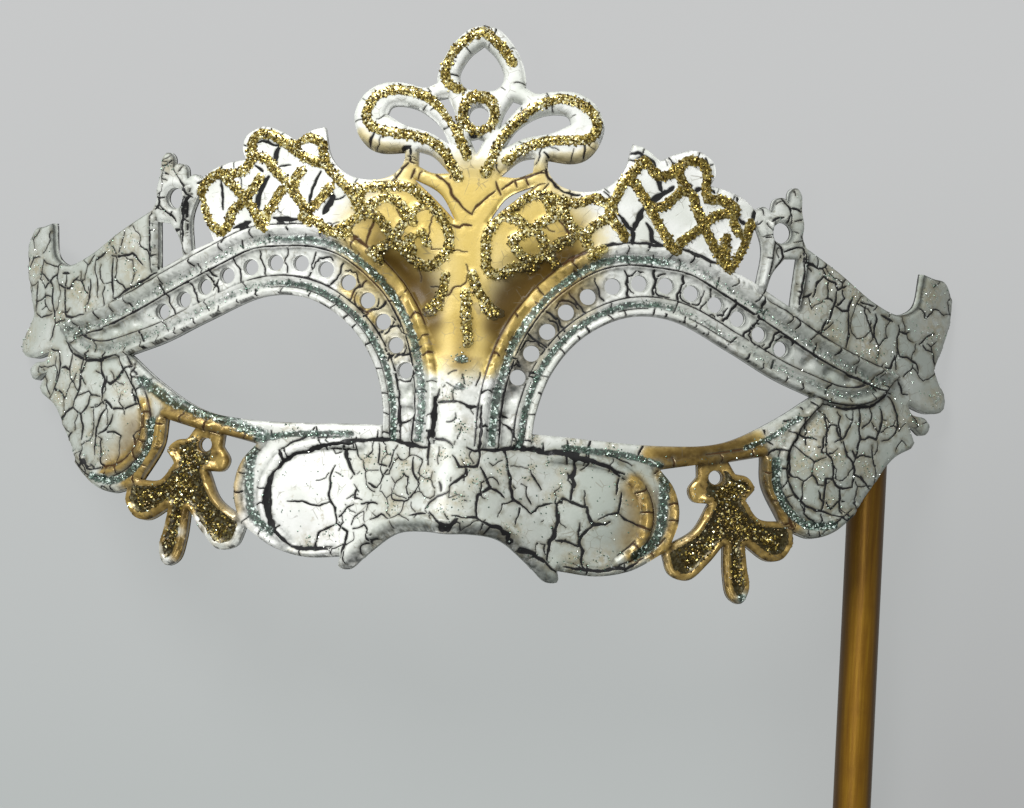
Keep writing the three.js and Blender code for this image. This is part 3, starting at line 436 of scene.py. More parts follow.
NOSE_CRACKS = [
    (0.36, [(4, -9), (7, -8.7), (10, -8.2), (14, -8.1), (18, -8.5), (22, -9.2), (26, -9.9), (29, -10.8),
            (31.5, -11.8)]),
    (0.14, [(2.5, -8.4), (4.5, -9.1)]),
    (0.13, [(4.3, -0.8), (4.5, -5), (4.7, -8.8), (5, -9.5), (4.7, -11.8)]),
    (0.16, [(0, 0), (2, -0.9), (4.3, -1)]),
    (0.15, [(9.2, -8.7), (10, -11.5), (10.8, -15), (11.4, -17.3), (13.2, -18.5), (15, -20)]),
    (0.08, [(14.3, -12), (15.5, -14), (16.5, -15.5)]),
    (0.3, [(22, -9.5), (22.4, -11), (21.9, -12.8), (22.5, -14), (22, -16), (21.9, -17.4)]),
    (0.18, [(19.4, -18), (20.6, -16.8), (21.9, -17.5), (25.2, -18.2), (25.6, -20), (26.5, -21.4),
            (28.7, -21.3), (29.6, -20.7)]),
    (0.12, [(27.5, -20.3), (29, -19.4), (31, -19), (31.3, -17), (31.4, -15.2)]),
    (0.12, [(31, -19), (32.7, -20.3), (35, -21.2), (37, -21.9)]),
    (0.08, [(30.8, -12.2), (30.4, -15.5)]),
    (0.17, [(26.5, -21.5), (25, -23), (24.1, -24.3), (24.2, -25.4), (24.9, -26.5), (25, -30)]),
    (0.1, [(24, -21.3), (24.1, -24.3)]),
    (0.13, [(19.9, -24.8), (21.5, -24.8), (23.9, -25.7)]),
    (0.2, [(20.7, -16.9), (19.5, -18), (20, -20.5), (19.6, -24), (18.6, -24.8), (18.5, -27), (18, -28.9)]),
    (0.1, [(15, -20), (16.2, -18.6), (18.5, -17.9)]),
    (0.16, [(5.3, -11.9), (6.3, -13.5), (7.3, -15.5), (5.2, -17), (5.4, -20.8)]),
    (0.12, [(7.3, -15.6), (9.3, -16.5), (10, -17.2)]),
    (0.2, [(1, -20.9), (5.3, -21), (7.5, -22.5), (11, -23.8), (14, -26.6), (17, -28.3), (20, -30.5)]),
    (0.1, [(7.7, -22.5), (7.3, -24.4)]),
    (0.12, [(0, -10), (1.4, -12), (4.6, -11.8), (5.1, -10)]),
    (0.18, [(2.6, -12), (2.9, -13.3), (0.5, -15), (0, -15.6)]),
    (0.2, [(0.4, -23.3), (2, -21.5)]),
    (0.4, [(-1.2, -23.1), (1, -23)]),
    (0.2, [(21.3, -29.6), (25, -29.9), (29, -29.9), (33, -29.4), (34.5, -28.4), (36, -27.2)]),
    (0.15, [(25, -5), (24.7, -8.8)]),
    (0.09, [(34.9, -5.8), (34, -8.2)]),
    (0.06, [(16.2, -6.8), (16.4, -8)]),
    (0.06, [(20.6, -6), (20.9, -8.6)]),
    (0.06, [(28, -8.5), (30.2, -8.8), (33, -10.1)]),
    (0.15, [(8.3, -2), (9.6, -2.4)]),
    (0.1, [(6.5, -2.5), (8, -3.3), (10.4, -4.8), (10.7, -6), (11.6, -7.2)]),
    (0.28, [(-5, -8.8), (-8, -8.6), (-11, -8), (-14, -8), (-17, -8.4)]),
    (0.38, [(-16, -8.3), (-18, -8.5), (-21, -9), (-24, -9.7)]),
    (0.28, [(-23.5, -9.6), (-27, -10.6), (-30, -11.7), (-32.5, -13.3), (-34.5, -15.6)]),
    (0.42, [(-34.4, -15.4), (-35.4, -19), (-35.2, -22), (-34.5, -24.5), (-32.5, -27.3), (-30.5, -29)]),
    (0.25, [(-30.7, -28.9), (-27, -29.5), (-22.5, -29.3)]),
    (0.36, [(-33.9, -11.4), (-32.8, -13)]),
    (0.12, [(-33.8, -11.2), (-31, -9.5), (-28, -8.2), (-27.3, -6.7)]),
    (0.12, [(-27, -6.5), (-26.4, -8.6), (-25.6, -9.8)]),
    (0.15, [(-35.7, -7.8), (-35.4, -9)]),
    (0.25, [(-21.2, -10), (-20.6, -12), (-19.8, -13.6), (-18.9, -14.9)]),
    (0.12, [(-22.7, -13.5), (-23.5, -16), (-23.5, -19), (-22.8, -20.5), (-22, -21.5), (-21.6, -24.3)]),
    (0.18, [(-21.6, -24.3), (-20.5, -25), (-19.3, -25.6), (-19.6, -28), (-19.8, -30.5)]),
    (0.08, [(-31.5, -20.9), (-28.5, -20.6), (-25.1, -21.3), (-23.3, -20.4)]),
    (0.08, [(-21.5, -23.2), (-20, -21.5), (-18.5, -20.5)]),
    (0.1, [(-21.6, -24.5), (-23, -25.2), (-24.9, -26.2), (-25.7, -29.2)]),
    (0.12, [(-18.2, -17.5), (-18.4, -19.3), (-17, -19.5)]),
    (0.14, [(-16, -16.3), (-14.2, -17)]),
    (0.07, [(-14.5, -9), (-14.4, -12.6), (-12.2, -13)]),
    (0.05, [(-10.9, -9), (-12.3, -13.5), (-14.2, -17)]),
    (0.1, [(-17, -20.3), (-15, -19.8), (-13.8, -20)]),
    (0.06, [(-11.2, -17), (-11, -18.8), (-8.2, -19), (-6.5, -17), (-5.8, -15.6)]),
    (0.06, [(-15, -23), (-12.8, -21.7), (-11, -22.5)]),
    (0.06, [(-18.3, -25), (-16, -24), (-15, -25.2), (-14.9, -26.8), (-12.5, -25.7)]),
    (0.12, [(-6.9, -21.5), (-4, -20.9)]),
    (0.1, [(-3.3, -20.5), (-1.6, -22.2), (0, -23.2)]),
    (0.1, [(-4.2, -20), (-3.5, -18.8), (-2, -17.5), (0, -16.5)]),
    (0.1, [(-7.5, -10.9), (-7.3, -13.5), (-5.8, -15.5)]),
    (0.25, [(-2, -15), (-1.5, -16.5)]),
    (0.2, [(-3.7, 2), (-4, -2), (-4.4, -7), (-4.7, -10), (-4.5, -12)]),
    (0.15, [(-3.6, -0.4), (0, -0.1)]),
    (0.14, [(-4, -7), (-1.6, -7.3), (-0.2, -8.2)]),
    (0.15, [(-11.3, 1), (-11, -2), (-10.9, -4.8), (-12, -6.2), (-12, -8)]),
    (0.1, [(-10.8, -4.9), (-8.4, -3.6)]),
    (0.1, [(-15, -6.5), (-15.1, -7.9)]),
]
CHEEK_CRACKS = [
    (0.14, [(-77.2, 3.9), (-77.4, 0.5), (-77.1, -1.8), (-77.6, -3.5), (-78.2, -4.5), (-78.4, -6)]),
    (0.16, [(-78.4, -6), (-80, -7), (-81, -8.3), (-81.5, -9.6)]),
    (0.12, [(-78.2, -6.2), (-76.8, -7), (-76.1, -7.2), (-75.9, -8.3), (-75.2, -9.4), (-75.5, -12.2)]),
    (0.15, [(-72.8, 3.8), (-72.6, 2.4), (-71.4, 0.2), (-71.2, -0.5), (-71.5, -1.5), (-71.4, -4.1)]),
    (0.15, [(-71.2, -0.5), (-69.9, -0.9), (-68.8, 0), (-67.4, 2.1), (-67, 2.3)]),
    (0.1, [(-73.7, -5.8), (-72.2, -5.5), (-70.6, -4), (-68.8, -5.8), (-66.2, -5.6), (-63.3, -4.4)]),
    (0.06, [(-77.5, -3.6), (-76.1, -3.1), (-74.8, -2.5), (-74, -3.3), (-71.9, -3.5)]),
    (0.1, [(-74.3, -3.5), (-74.4, -5), (-75.2, -6.3), (-75.9, -7)]),
    (0.1, [(-70.4, -4.6), (-70.2, -5.8), (-71.4, -7.9), (-72, -9.7), (-72.1, -12.1), (-72.1, -15)]),
    (0.08, [(-71.5, -10.9), (-69.9, -9.9), (-69, -8.6), (-68.6, -6.9)]),
    (0.18, [(-75.1, -18.2), (-74.9, -17.6), (-74.2, -16), (-72.8, -17.8), (-71.5, -17.7)]),
    (0.13, [(-71.5, -17.7), (-69, -16.9), (-66.5, -16), (-64.5, -14.7), (-63, -12.9), (-62.2, -11),
            (-62.2, -8.5), (-62.6, -6), (-63.4, -4), (-64.2, -1.8), (-66, 0.8), (-68.9, 4.7)]),
    (0.12, [(-72.6, -19.4), (-70.5, -19.7), (-69.1, -19.2), (-68.9, -18.2)]),
    (0.06, [(-80, 4.6), (-80.3, 2.8), (-80.2, 0), (-77.8, -2.6)]),
    (0.14, [(-82.5, 1.6), (-81.6, 1.9), (-80.2, 1.2)]),
    (0.08, [(-83.6, 5), (-83.3, 3.8), (-83, 1), (-83.4, -1.2), (-84.2, -3.3)]),
    (0.1, [(-85.8, 5.3), (-83.8, 4.9)]),
    (0.06, [(-79.2, -12.4), (-78, -11)]),
    (0.14, [(-82, 7), (-80.5, 5.2), (-78.5, 4.2), (-76, 3.4), (-73, 3.5), (-70.5, 4.3), (-68.9, 4.9)]),
    (0.17, [(68.3, 3.9), (67.3, 2.7), (65.5, 0.4), (64, -2.4), (62.9, -4.3), (62.4, -6.5), (62.1, -9),
            (62.6, -11.6), (63.7, -13.6), (66, -15.7), (68.3, -16.6), (71, -17.1), (73.2, -17.5),
            (74.2, -18.3)]),
    (0.15, [(74.2, -18.2), (75.2, -17.2)]),
    (0.09, [(62.4, -5.6), (61, -5.3), (59.9, -5.3), (58.3, -6.6)]),
    (0.09, [(58, -3.9), (59.3, -4.5)]),
    (0.11, [(64.2, -2.2), (65.7, -2.8), (67.8, -3.1)]),
    (0.11, [(68.1, -4.5), (69.7, -3.9), (69.6, -2), (70.3, 0), (69.6, 1.2)]),
    (0.1, [(70.3, 0), (71.6, 0), (72, -2), (72.8, -2.6)]),
    (0.07, [(71.3, -3.3), (72.8, -2.7), (73.6, -1.4), (74.4, 0.3), (74.8, 2.8)]),
    (0.12, [(72.8, -2.7), (73.3, -4), (73.8, -5.8), (75.1, -7), (75.6, -8.3), (75.5, -10), (75.3, -11.8)]),
    (0.13, [(75.6, -9.4), (77, -9.8), (78, -10.9), (78.9, -12)]),
    (0.13, [(76, 3.4), (76.2, 1), (76.5, -2.3), (76, -4.8), (75.4, -7)]),
    (0.12, [(76.5, -2.5), (77.5, -2.5), (78.1, -1.9), (79.8, -2.4), (80.5, -0.5), (80.9, 1.4), (80.2, 4)]),
    (0.09, [(80.9, 1.5), (81.8, 1.5)]),
    (0.11, [(69.7, -4), (69.7, -5.6), (71, -6.7), (71.3, -8.5), (71.2, -10.3), (72, -11.6), (73, -12),
            (75.3, -11.7)]),
    (0.12, [(71.2, -10.4), (69.9, -10.4), (69.8, -13.5), (69.3, -16.7)]),
    (0.11, [(72.8, -12), (73, -14), (73.3, -17.4)]),
    (0.06, [(63.3, -4.4), (65.5, -6), (67.5, -7.3), (69.7, -6.3)]),
    (0.12, [(65.9, -15.9), (65.7, -17.3)]),
    (0.07, [(65.7, -17.3), (67, -18.3), (69.5, -19.4), (72.2, -19.3), (72.2, -18.1)]),
    (0.14, [(62.9, -18), (63, -19), (64, -20.3)]),
    (0.12, [(64, 3.2), (64.8, 2.5)]),
    (0.1, [(57.2, -1.5), (57.7, -2.6)]),
    (0.15, [(68.4, 4), (71, 3.5), (75, 3.4), (78, 3.9), (80, 5.2), (81.5, 7), (82.9, 10)]),
    (0.1, [(83.7, 9.8), (84.5, 8), (84.8, 6.8), (86, 6.8)]),
    (0.08, [(81.8, 6.2), (83, 4.8), (84, 2.5), (84.3, 0.5), (83.6, -1.2), (82.4, -2.3), (81, -2.6)]),
    (0.05, [(79, -3.5), (79.2, -6), (79.9, -7.8)]),
]
WING_CRACKS = [
    (0.16, [(-63.5, 31.2), (-63.2, 28), (-62.9, 24.5), (-62.7, 21.3)]),
    (0.15, [(-75.9, 23.3), (-74.3, 24.3), (-73.5, 25)]),
    (0.12, [(-72.1, 24.3), (-69.8, 24.3), (-68, 24.5), (-67.3, 24.9), (-66, 23.7), (-64.8, 22.6)]),
    (0.06, [(-75.9, 23.3), (-75.9, 21), (-75.2, 19.5), (-75, 16)]),
    (0.12, [(-71.7, 24.2), (-71.8, 21), (-71.6, 19), (-71.2, 17), (-71, 15.4)]),
    (0.07, [(-69.4, 29.2), (-70, 26.5), (-70.5, 25)]),
    (0.11, [(-83.2, 20.2), (-83.3, 17), (-83.1, 14.5), (-82.5, 12), (-81, 11.8), (-78, 12.5)]),
    (0.15, [(-84.3, 20.6), (-82.5, 20.6)]),
    (0.05, [(-79.5, 21), (-79.4, 19.3), (-78.2, 17.3), (-76.9, 16.5)]),
    (0.07, [(-82, 18), (-81.2, 19.2), (-80, 20)]),
    (0.07, [(-77, 19.5), (-76.8, 16), (-77.2, 14.5)]),
    (0.11, [(-90.5, 20.9), (-88.5, 19.5), (-87, 18.4), (-86.7, 16.5), (-86.5, 14.5), (-85.4, 10.5),
            (-82.8, 11.3)]),
    (0.08, [(-85.4, 10.4), (-85.8, 8), (-86.5, 7)]),
    (0.1, [(-91.2, 19), (-91.3, 16.5), (-91.1, 14.5), (-91.2, 12.8)]),
    (0.06, [(-90.9, 14.9), (-89.8, 15.2), (-88.3, 16.2), (-87, 15.8)]),
    (0.06, [(-91, 12.5), (-89.5, 11.5), (-86.4, 12.4)]),
    (0.07, [(-94, 21.5), (-93, 23.8), (-91, 24)]),
    (0.12, [(-61.8, 36.8), (-61.8, 34.6), (-62.8, 33.5)]),
    (0.08, [(-61.8, 34.5), (-60.5, 33.3), (-59.5, 32.7), (-58.1, 31.2)]),
    (0.17, [(-59.2, 29.9), (-58.3, 29.4), (-57, 29.7)]),
    (0.08, [(-57.8, 39.3), (-56.5, 38), (-55.6, 36)]),
    (0.07, [(-56, 36), (-56.5, 33), (-56.7, 30.5), (-56.5, 27.5), (-55.6, 25)]),
    (0.14, [(-61.5, 40.6), (-60.3, 40.3)]),
    (0.1, [(62.9, 30.3), (62.9, 27), (62.7, 24.5), (62.6, 22)]),
    (0.14, [(62.3, 30.6), (63.5, 30.6), (65, 30.3), (66.2, 29.6)]),
    (0.1, [(63.3, 30.6), (63.3, 32), (62.9, 33.3), (61.5, 33.3), (60, 32.7), (59.3, 32.3)]),
    (0.12, [(56.7, 35.5), (57.3, 34), (58.7, 32.5), (59.1, 31.2), (57.8, 29), (56.5, 25.8), (55.8, 24)]),
    (0.1, [(56.2, 37.8), (57.5, 38.6), (58.6, 38.8)]),
    (0.15, [(60, 40.6), (61.3, 40.5), (62.3, 40.1)]),
    (0.12, [(63, 23.8), (65, 24.8)]),
    (0.12, [(65.4, 24.2), (65.8, 25.5), (66, 27), (67.2, 28.3), (68.5, 27.5), (69.7, 27.2), (70.2, 25.9),
            (71.9, 26.8)]),
    (0.11, [(70, 25.6), (69.8, 23.5), (69.3, 22), (69, 20.3), (68.6, 19.3)]),
    (0.1, [(70, 22.8), (71.4, 21.9), (72.6, 22.1), (72.8, 23.5), (73.4, 24.9)]),
    (0.11, [(72.7, 22), (72.9, 19), (72.8, 16), (72.6, 15)]),
    (0.12, [(68.4, 20), (67.7, 18.6), (67.4, 17)]),
    (0.07, [(56.2, 23), (58.5, 21.7), (62, 20), (64, 18.9)]),
    (0.08, [(75, 24), (76, 23.8), (77.8, 23.5)]),
    (0.05, [(76, 23.8), (76, 22), (77, 20), (78, 17)]),
    (0.16, [(79.5, 21.9), (81.9, 20.9)]),
    (0.1, [(78.2, 22), (78.6, 20.8), (78.1, 19.5), (78.2, 18), (77.5, 16.5)]),
    (0.13, [(81, 11.8), (82, 11.7), (82.3, 13), (82.8, 14.2)]),
    (0.1, [(83.2, 20.3), (83.5, 19.3), (83, 17.8), (83.2, 15.8), (83.8, 14.2), (85.5, 14.2), (87.8, 12.8),
           (88, 11)]),
    (0.11, [(83.7, 19), (84.8, 18.7), (85.5, 19.2)]),
    (0.07, [(87.9, 16.9), (88.8, 17.8), (90, 18.9), (91.2, 19.4)]),
    (0.07, [(88.5, 17.2), (89.5, 16), (91, 15.6)]),
    (0.13, [(55.8, 23.5), (55.6, 20.8), (54.3, 20)]),
    (0.1, [(62.8, 19.5), (62.4, 17.8)]),
]

# Spots of tan dust with a few sparkles: x, y and radius
DUST_SPOTS = [
    (1.4, 4.2, 1.8), (-1.8, 0.6, 1.6), (2, -4.8, 1.6), (-0.4, 8.2, 2.0), (66, 22.5, 2.5), (70, 17.5, 2.2),
    (76.5, 15.5, 2.5), (79, 14, 2), (69, 28.5, 2.5), (74, 25.5, 2.5), (89.5, 27, 3.5), (91, 20, 3),
    (68, 0.5, 2.5), (66, -1.5, 2), (64.8, -8, 1.8), (67, -5, 2.5), (68.5, -9, 1.8), (72, -6, 2),
    (78, -8, 2.5), (61, -2.5, 2.2), (71, -15, 1.6), (82, 1, 1.8), (87, 2, 2.5), (92, 6.5, 2.5),
    (9, -12, 1.3), (14, -13.5, 1), (14.5, -11.5, 1), (17, -10.2, 1), (19.8, -12, 1), (20.2, -14.5, 1),
    (18.5, -16.5, 1.5), (12, -23, 1.8), (2.5, -11, 1.6), (4.2, -14.5, 1.5), (1.5, -18, 1.8), (29, -28, 2.5),
    (23, -28, 2), (14.5, -5.8, 1.5), (22, -6, 1.5), (29, -6.8, 1.6), (1, -4.4, 1.4), (-80.5, 17, 2.5),
    (-77, 14.5, 2), (-68, 27, 2.5), (-66.5, 21.5, 3), (-72.5, 26, 2), (-82, -4, 2.5), (-79, 1, 2),
    (-70.5, -14.5, 2), (-67, -2, 2), (-73, -11.5, 1.5), (-84, 12, 2), (-92, 22, 3), (-94, 8, 3),
    (-86, 4, 2), (-60.5, 42, 2), (-16.5, -12, 1.8), (-13, -11, 1.3), (-9, -12.5, 1.8), (-4.5, -14, 1.8),
    (-10.5, -20, 2.2), (-2, -10, 1.5), (-1, -20, 1.8), (-27, -28, 2), (-23, -26, 1.2), (-32, -7.5, 2),
]

# Camera, fitted to the photograph in the mask's own frame: millimetres, degrees and focal length in pixels
CAMERA_DISTANCE = 450.0
CAMERA_FOCAL = 5.33 * CAMERA_DISTANCE
CAMERA_YAW = -3.70
CAMERA_PITCH = 0.07
CAMERA_ROLL = -3.61
CAMERA_SHIFT = (-9.8, 0.5)
PHOTO_WIDTH = 1024
SENSOR_WIDTH = 36.0

# The stick, with rounded ends
STICK_RADIUS = 3.74
STICK_ROUNDING = 0.5
STICK_SIDES = 64

# The glue leans with the cheek, in degrees about Y, and stays behind the cheek's edge and below its back
GLUE_TURN = 40.0
GLUE_HALF_WIDTH = 5.0
GLUE_HALF_HEIGHT = 3.0
GLUE_INSET = 2.2
GLUE_COVER = 1.2
CHEEK_EDGE = [(79.6, -11.8), (84, -5.8), (87.7, -3.7), (88, 0)]

# Fineness of the surface
EDGE_STEP = 0.55
CRACK_STEP = 0.5
ROW_STEP = 0.6
FILL_STEP = 0.66
BACK_STEP = 2.2
ROW_GAP = 0.3
FILL_GAP = 0.44
BACK_GAP = 0.9

# Glitter chips: how many to a square millimetre, how many strays, and from and to which radius
LACE_CHIPS = 6.0
PENDANT_CHIPS = 5.0
GROOVE_CHIPS = 1.9
STRAY_CHIPS = 2600
GOLD_SIZES = (0.16, 0.34)
SILVER_SIZES = (0.09, 0.2)


# Curves

def curve_through(points, samples=12):
    """A smooth curve through the points, with centripetal spacing."""
    p = np.array(points, float)
    p = np.vstack([2 * p[0] - p[1], p, 2 * p[-1] - p[-2]])
    out = []
    for p0, p1, p2, p3 in zip(p, p[1:], p[2:], p[3:]):
        t0, t1, t2 = (max(np.linalg.norm(b - a), 1e-6) ** 0.5 for a, b in ((p0, p1), (p1, p2), (p2, p3)))
        m1 = ((p1 - p0) / t0 - (p2 - p0) / (t0 + t1) + (p2 - p1) / t1) * t1
        m2 = ((p2 - p1) / t1 - (p3 - p1) / (t1 + t2) + (p3 - p2) / t2) * t1
        t = np.linspace(0, 1, samples, endpoint=False)[:, None]
        square = (-3 * p1 + 3 * p2 - 2 * m1 - m2) * t**2
        cube = (2 * p1 - 2 * p2 + m1 + m2) * t**3
        out.append(p1 + m1 * t + square + cube)
    return np.vstack([*out, p[-2:-1]])


def lengths(line):
    return np.concatenate([[0], np.cumsum(np.hypot(*np.diff(line, axis=0).T))])


def resample(line, step):
    along = lengths(line)
    count = max(1, round(along[-1] / step))
    at = np.linspace(0, along[-1], count + 1)
    return np.column_stack([np.interp(at, along, line[:, k]) for k in (0, 1)])


def smooth(points, step):
    return resample(curve_through(points), step)


def mirror(line):
    return np.array(line, float) * (-1, 1)


def offset(line, distance):
    """The line moved to its right by the distance, without the stretches that double back."""
    ahead = np.gradient(line, axis=0)
    ahead /= np.linalg.norm(ahead, axis=1)[:, None]
    moved = line + distance * np.column_stack([ahead[:, 1], -ahead[:, 0]])
    gap = np.array([np.hypot(*(line - m).T).min() for m in moved])
    return moved[gap > abs(distance) - 0.12]


def point_at(line, distance):
    along = lengths(line)
    return np.array([np.interp(distance, along, line[:, k]) for k in (0, 1)])


def heading(line, distance, ahead):
    """The point at a distance along the line, and the direction there."""
    a, b = point_at(line, distance), point_at(line, distance + ahead)
    return a, (b - a) / max(np.hypot(*(b - a)), 1e-6)


def right_of(ahead):
    return np.array([ahead[1], -ahead[0]])


def turns(count):
    """Angles evenly round a circle."""
    return np.linspace(0, 2 * math.pi, count, endpoint=False)


def loop(runs, side=1):
    """A closed outline of runs, without its last point."""
    return np.vstack([smooth(run, EDGE_STEP)[:-1] for run in runs]) * (side, 1)


def circle(x, y, radius):
    turn = turns(max(12, round(2 * math.pi * radius / EDGE_STEP)))
    return np.column_stack([x + radius * np.cos(turn), y + radius * np.sin(turn)])


strip_curve = curve_through(STRIP_LINE)
hole_centres = [point_at(strip_curve, FIRST_HOLE + i * HOLE_PITCH) for i in range(HOLE_COUNT)]
dimple_centres = [point_at(strip_curve, distance) for distance in DIMPLES]


def outlines():
    """The outer edge of the shell and all its openings."""
    half = np.vstack([smooth(run, EDGE_STEP)[:-1] for run in HALF_OUTLINE] + [HALF_OUTLINE[-1][-1:]])
    loops = [np.vstack([half, mirror(half[1:-1][::-1])])]
    loops += [loop(runs) for runs in CENTRE_WINDOWS] + [circle(*RING)]
    for side in (1, -1):
        loops += [loop(runs, side) for runs in SIDE_WINDOWS.values()]
        loops += [circle(side * x, y, radius) for x, y, radius in SIDE_HOLES]
        loops += [circle(side * x, y, HOLE_RADIUS) for x, y in hole_centres]
    return loops


def inside(points, loops):
    """True for the points that lie on the shell, by counting the edges to the right of each."""
    odd = np.zeros(len(points), bool)
    order = np.argsort(points[:, 1])
    heights = points[order, 1]
    for ring in loops:
        for a, b in zip(ring, np.roll(ring, -1, axis=0)):
            low, high = min(a[1], b[1]), max(a[1], b[1])
            which = order[np.searchsorted(heights, low):np.searchsorted(heights, high)]
            if len(which):
                crossing = a[0] + (points[which, 1] - a[1]) * (b[0] - a[0]) / (b[1] - a[1])
                odd[which] ^= points[which, 0] < crossing
    return odd


# Distances from many points to lines

class Sites:
    """Points sorted into square cells, so that those near a line are found at once."""

    cell = 2.0
    row = 10000  # more cells than one column holds

    def __init__(self, points):
        self.points = points
        key = self.keys(points)
        self.order = np.argsort(key, kind="stable")
        self.sorted = key[self.order]

    def keys(self, points):
        cells = np.floor(points / self.cell).astype(int) + self.row // 2
        return cells[:, 0] * self.row + cells[:, 1]

    def near(self, low, high):
        x0, y0 = np.floor(low / self.cell).astype(int) + self.row // 2
        x1, y1 = np.floor(high / self.cell).astype(int) + self.row // 2
        first = np.arange(x0, x1 + 1) * self.row
        starts = np.searchsorted(self.sorted, first + y0)
        ends = np.searchsorted(self.sorted, first + y1 + 1)
        return np.concatenate([self.order[s:e] for s, e in zip(starts, ends)])

    def distance(self, line, reach, width=None):
        """Distance to the line, less its half width there. Points out of reach get the reach."""
        found = np.full(len(self.points), float(reach))
        for i, (a, b) in enumerate(zip(line[:-1], line[1:])):
            which = self.near(np.minimum(a, b) - reach, np.maximum(a, b) + reach)
            if not len(which):
                continue
            chord = b - a
            offset_from = self.points[which] - a
            t = np.clip(offset_from @ chord / max(chord @ chord, 1e-12), 0, 1)
            gap = np.hypot(*(offset_from - t[:, None] * chord).T)
            if width is not None:
                gap = gap - (width[i] + t * (width[i + 1] - width[i]))
            found[which] = np.minimum(found[which], gap)
        return found


# The bent form of the shell

def dome(form, x, y):
    turn = math.radians(form["turn"])
    dx, dy = np.abs(x) - form["x"], y - form["y"]
    u = (dx * math.cos(turn) + dy * math.sin(turn)) / form["rx"]
    v = (dy * math.cos(turn) - dx * math.sin(turn)) / form["ry"]
    return form["height"] * np.maximum(0, 1 - u * u - v * v) ** 2


def face_height(x, y):
    side = (x / WING_REACH) ** 2
    rise = y / RISE_LENGTH
    grow = np.maximum(0, (NOSE["start"] - y) / NOSE["length"])
    widen = np.clip((NOSE["spread_start"] - y) / NOSE["spread_length"], 0, 1)
    half_width = NOSE["half_width"] + NOSE["spread"] * widen
    nose = NOSE["height"] * grow ** NOSE["power"] * np.exp(-((x / half_width) ** 2))
    bowl = -WRAP * side - WRAP_STEEP * side**2 - LEAN * rise**2 + side * rise * (TWIST_CURVE * rise - TWIST)
    return bowl + nose + sum(dome(form, x, y) for form in PRESSED_FORMS)


def normals(x, y, step=0.05):
    slope_x = (face_height(x + step, y) - face_height(x - step, y)) / (2 * step)
    slope_y = (face_height(x, y + step) - face_height(x, y - step)) / (2 * step)
    n = np.column_stack([-slope_x, -slope_y, np.ones(len(x))])
    return n / np.linalg.norm(n, axis=1)[:, None]


def bend(points, above):
    """Flat points laid on the bent form, raised by above along its normals."""
    x, y = points.T
    form = np.column_stack([x, y, face_height(x, y)])
    return form + normals(x, y) * np.broadcast_to(above, x.shape)[:, None]


# Cracks in the paint: each is a line with a half width at each of its points

def jagged(a, b, roughness=0.16, step=0.9):
    """A broken line from a to b."""
    points = [np.array(a, float), np.array(b, float)]
    while np.hypot(*(points[1] - points[0])) > step:
        finer = [points[0]]
        for p, q in zip(points, points[1:]):
            finer += [(p + q) / 2 + right_of(q - p) * random.uniform(-roughness, roughness), q]
        points = finer
    return np.array(points)


def crack(line, half_width, taper=(1.0, 1.0)):
    line = np.array(line, float)
    t = np.linspace(0, 1, len(line))
    ends = taper[0] + (1 - taper[0]) * np.minimum(1, 4 * t)
    ends *= taper[1] + (1 - taper[1]) * np.minimum(1, 4 * (1 - t))
    return line, half_width * random.uniform(0.55, 1.35, len(line)) * ends


def network(low, high, cell, chance, half_width, stretch=1.0):
    """Cracks along the edges of random cells. chance(x, y) is how many of them open there, from 0 to 1."""
    xs = np.arange(low[0], high[0] + cell, cell)
    ys = np.arange(low[1], high[1] + cell * stretch, cell * stretch)
    seeds = np.array([(x + 0.5 * cell * (j % 2), y) for j, y in enumerate(ys) for x in xs])
    seeds += random.uniform(-0.36, 0.36, seeds.shape) * (cell, cell * stretch)
    flat = delaunay_2d_cdt([Vector(s / (1, stretch)) for s in seeds], [], [], 0, 1e-6, False)
    corners, triangles = np.array([tuple(v) for v in flat[0]]), flat[2]
    centres, edges, cracks = [], {}, []
    for index, (i, j, k) in enumerate(triangles):
        a, b, c = corners[i], corners[j], corners[k]
        d = 2 * (a[0] * (b[1] - c[1]) + b[0] * (c[1] - a[1]) + c[0] * (a[1] - b[1]))
        s = np.array([a @ a, b @ b, c @ c])
        ux = s @ (b[1] - c[1], c[1] - a[1], a[1] - b[1]) / d
        uy = s @ (c[0] - b[0], a[0] - c[0], b[0] - a[0]) / d
        centres.append(np.array([ux, uy * stretch]))
        for edge in ((i, j), (j, k), (k, i)):
            edges.setdefault(tuple(sorted(edge)), []).append(index)
    for shared in edges.values():
        if len(shared) < 2:
            continue
        a, b = centres[shared[0]], centres[shared[1]]
        middle = (a + b) / 2
        if np.hypot(*(b - a)) > 3 * cell * stretch or random.random() > chance(*middle):
            continue
        fate = random.random()
        if fate < 0.2:
            b = a + (b - a) * random.uniform(0.4, 0.75)
        width = half_width * random.choice([0.4, 0.7, 1.0, 1.4, 2.0], p=[0.25, 0.3, 0.22, 0.15, 0.08])
        cracks.append(crack(jagged(a, b), width, (1, 0.2) if fate < 0.2 else (1, 1)))
    return cracks


def wing_chance(x, y):
    x = abs(x)
    if x > 61 and (y < 4 or y > 22 - 0.42 * (x - 60)):
        return 0.72
    return 0.5 if x > 54 and y > 30 else 0.0


def nose_chance(x, y):
    if -8.5 > y > -31:
        return 0.75 if -19 < x < -2 else 0.3
    return 0.4 if abs(x) < 3.6 and -8 < y < 6 else 0.0


def panel_chance(x, y):
    if y > 8 and abs(x) < 17:
        return 0.3
    return 0.08 if y > 30 and 20 < abs(x) < 52 else 0.0


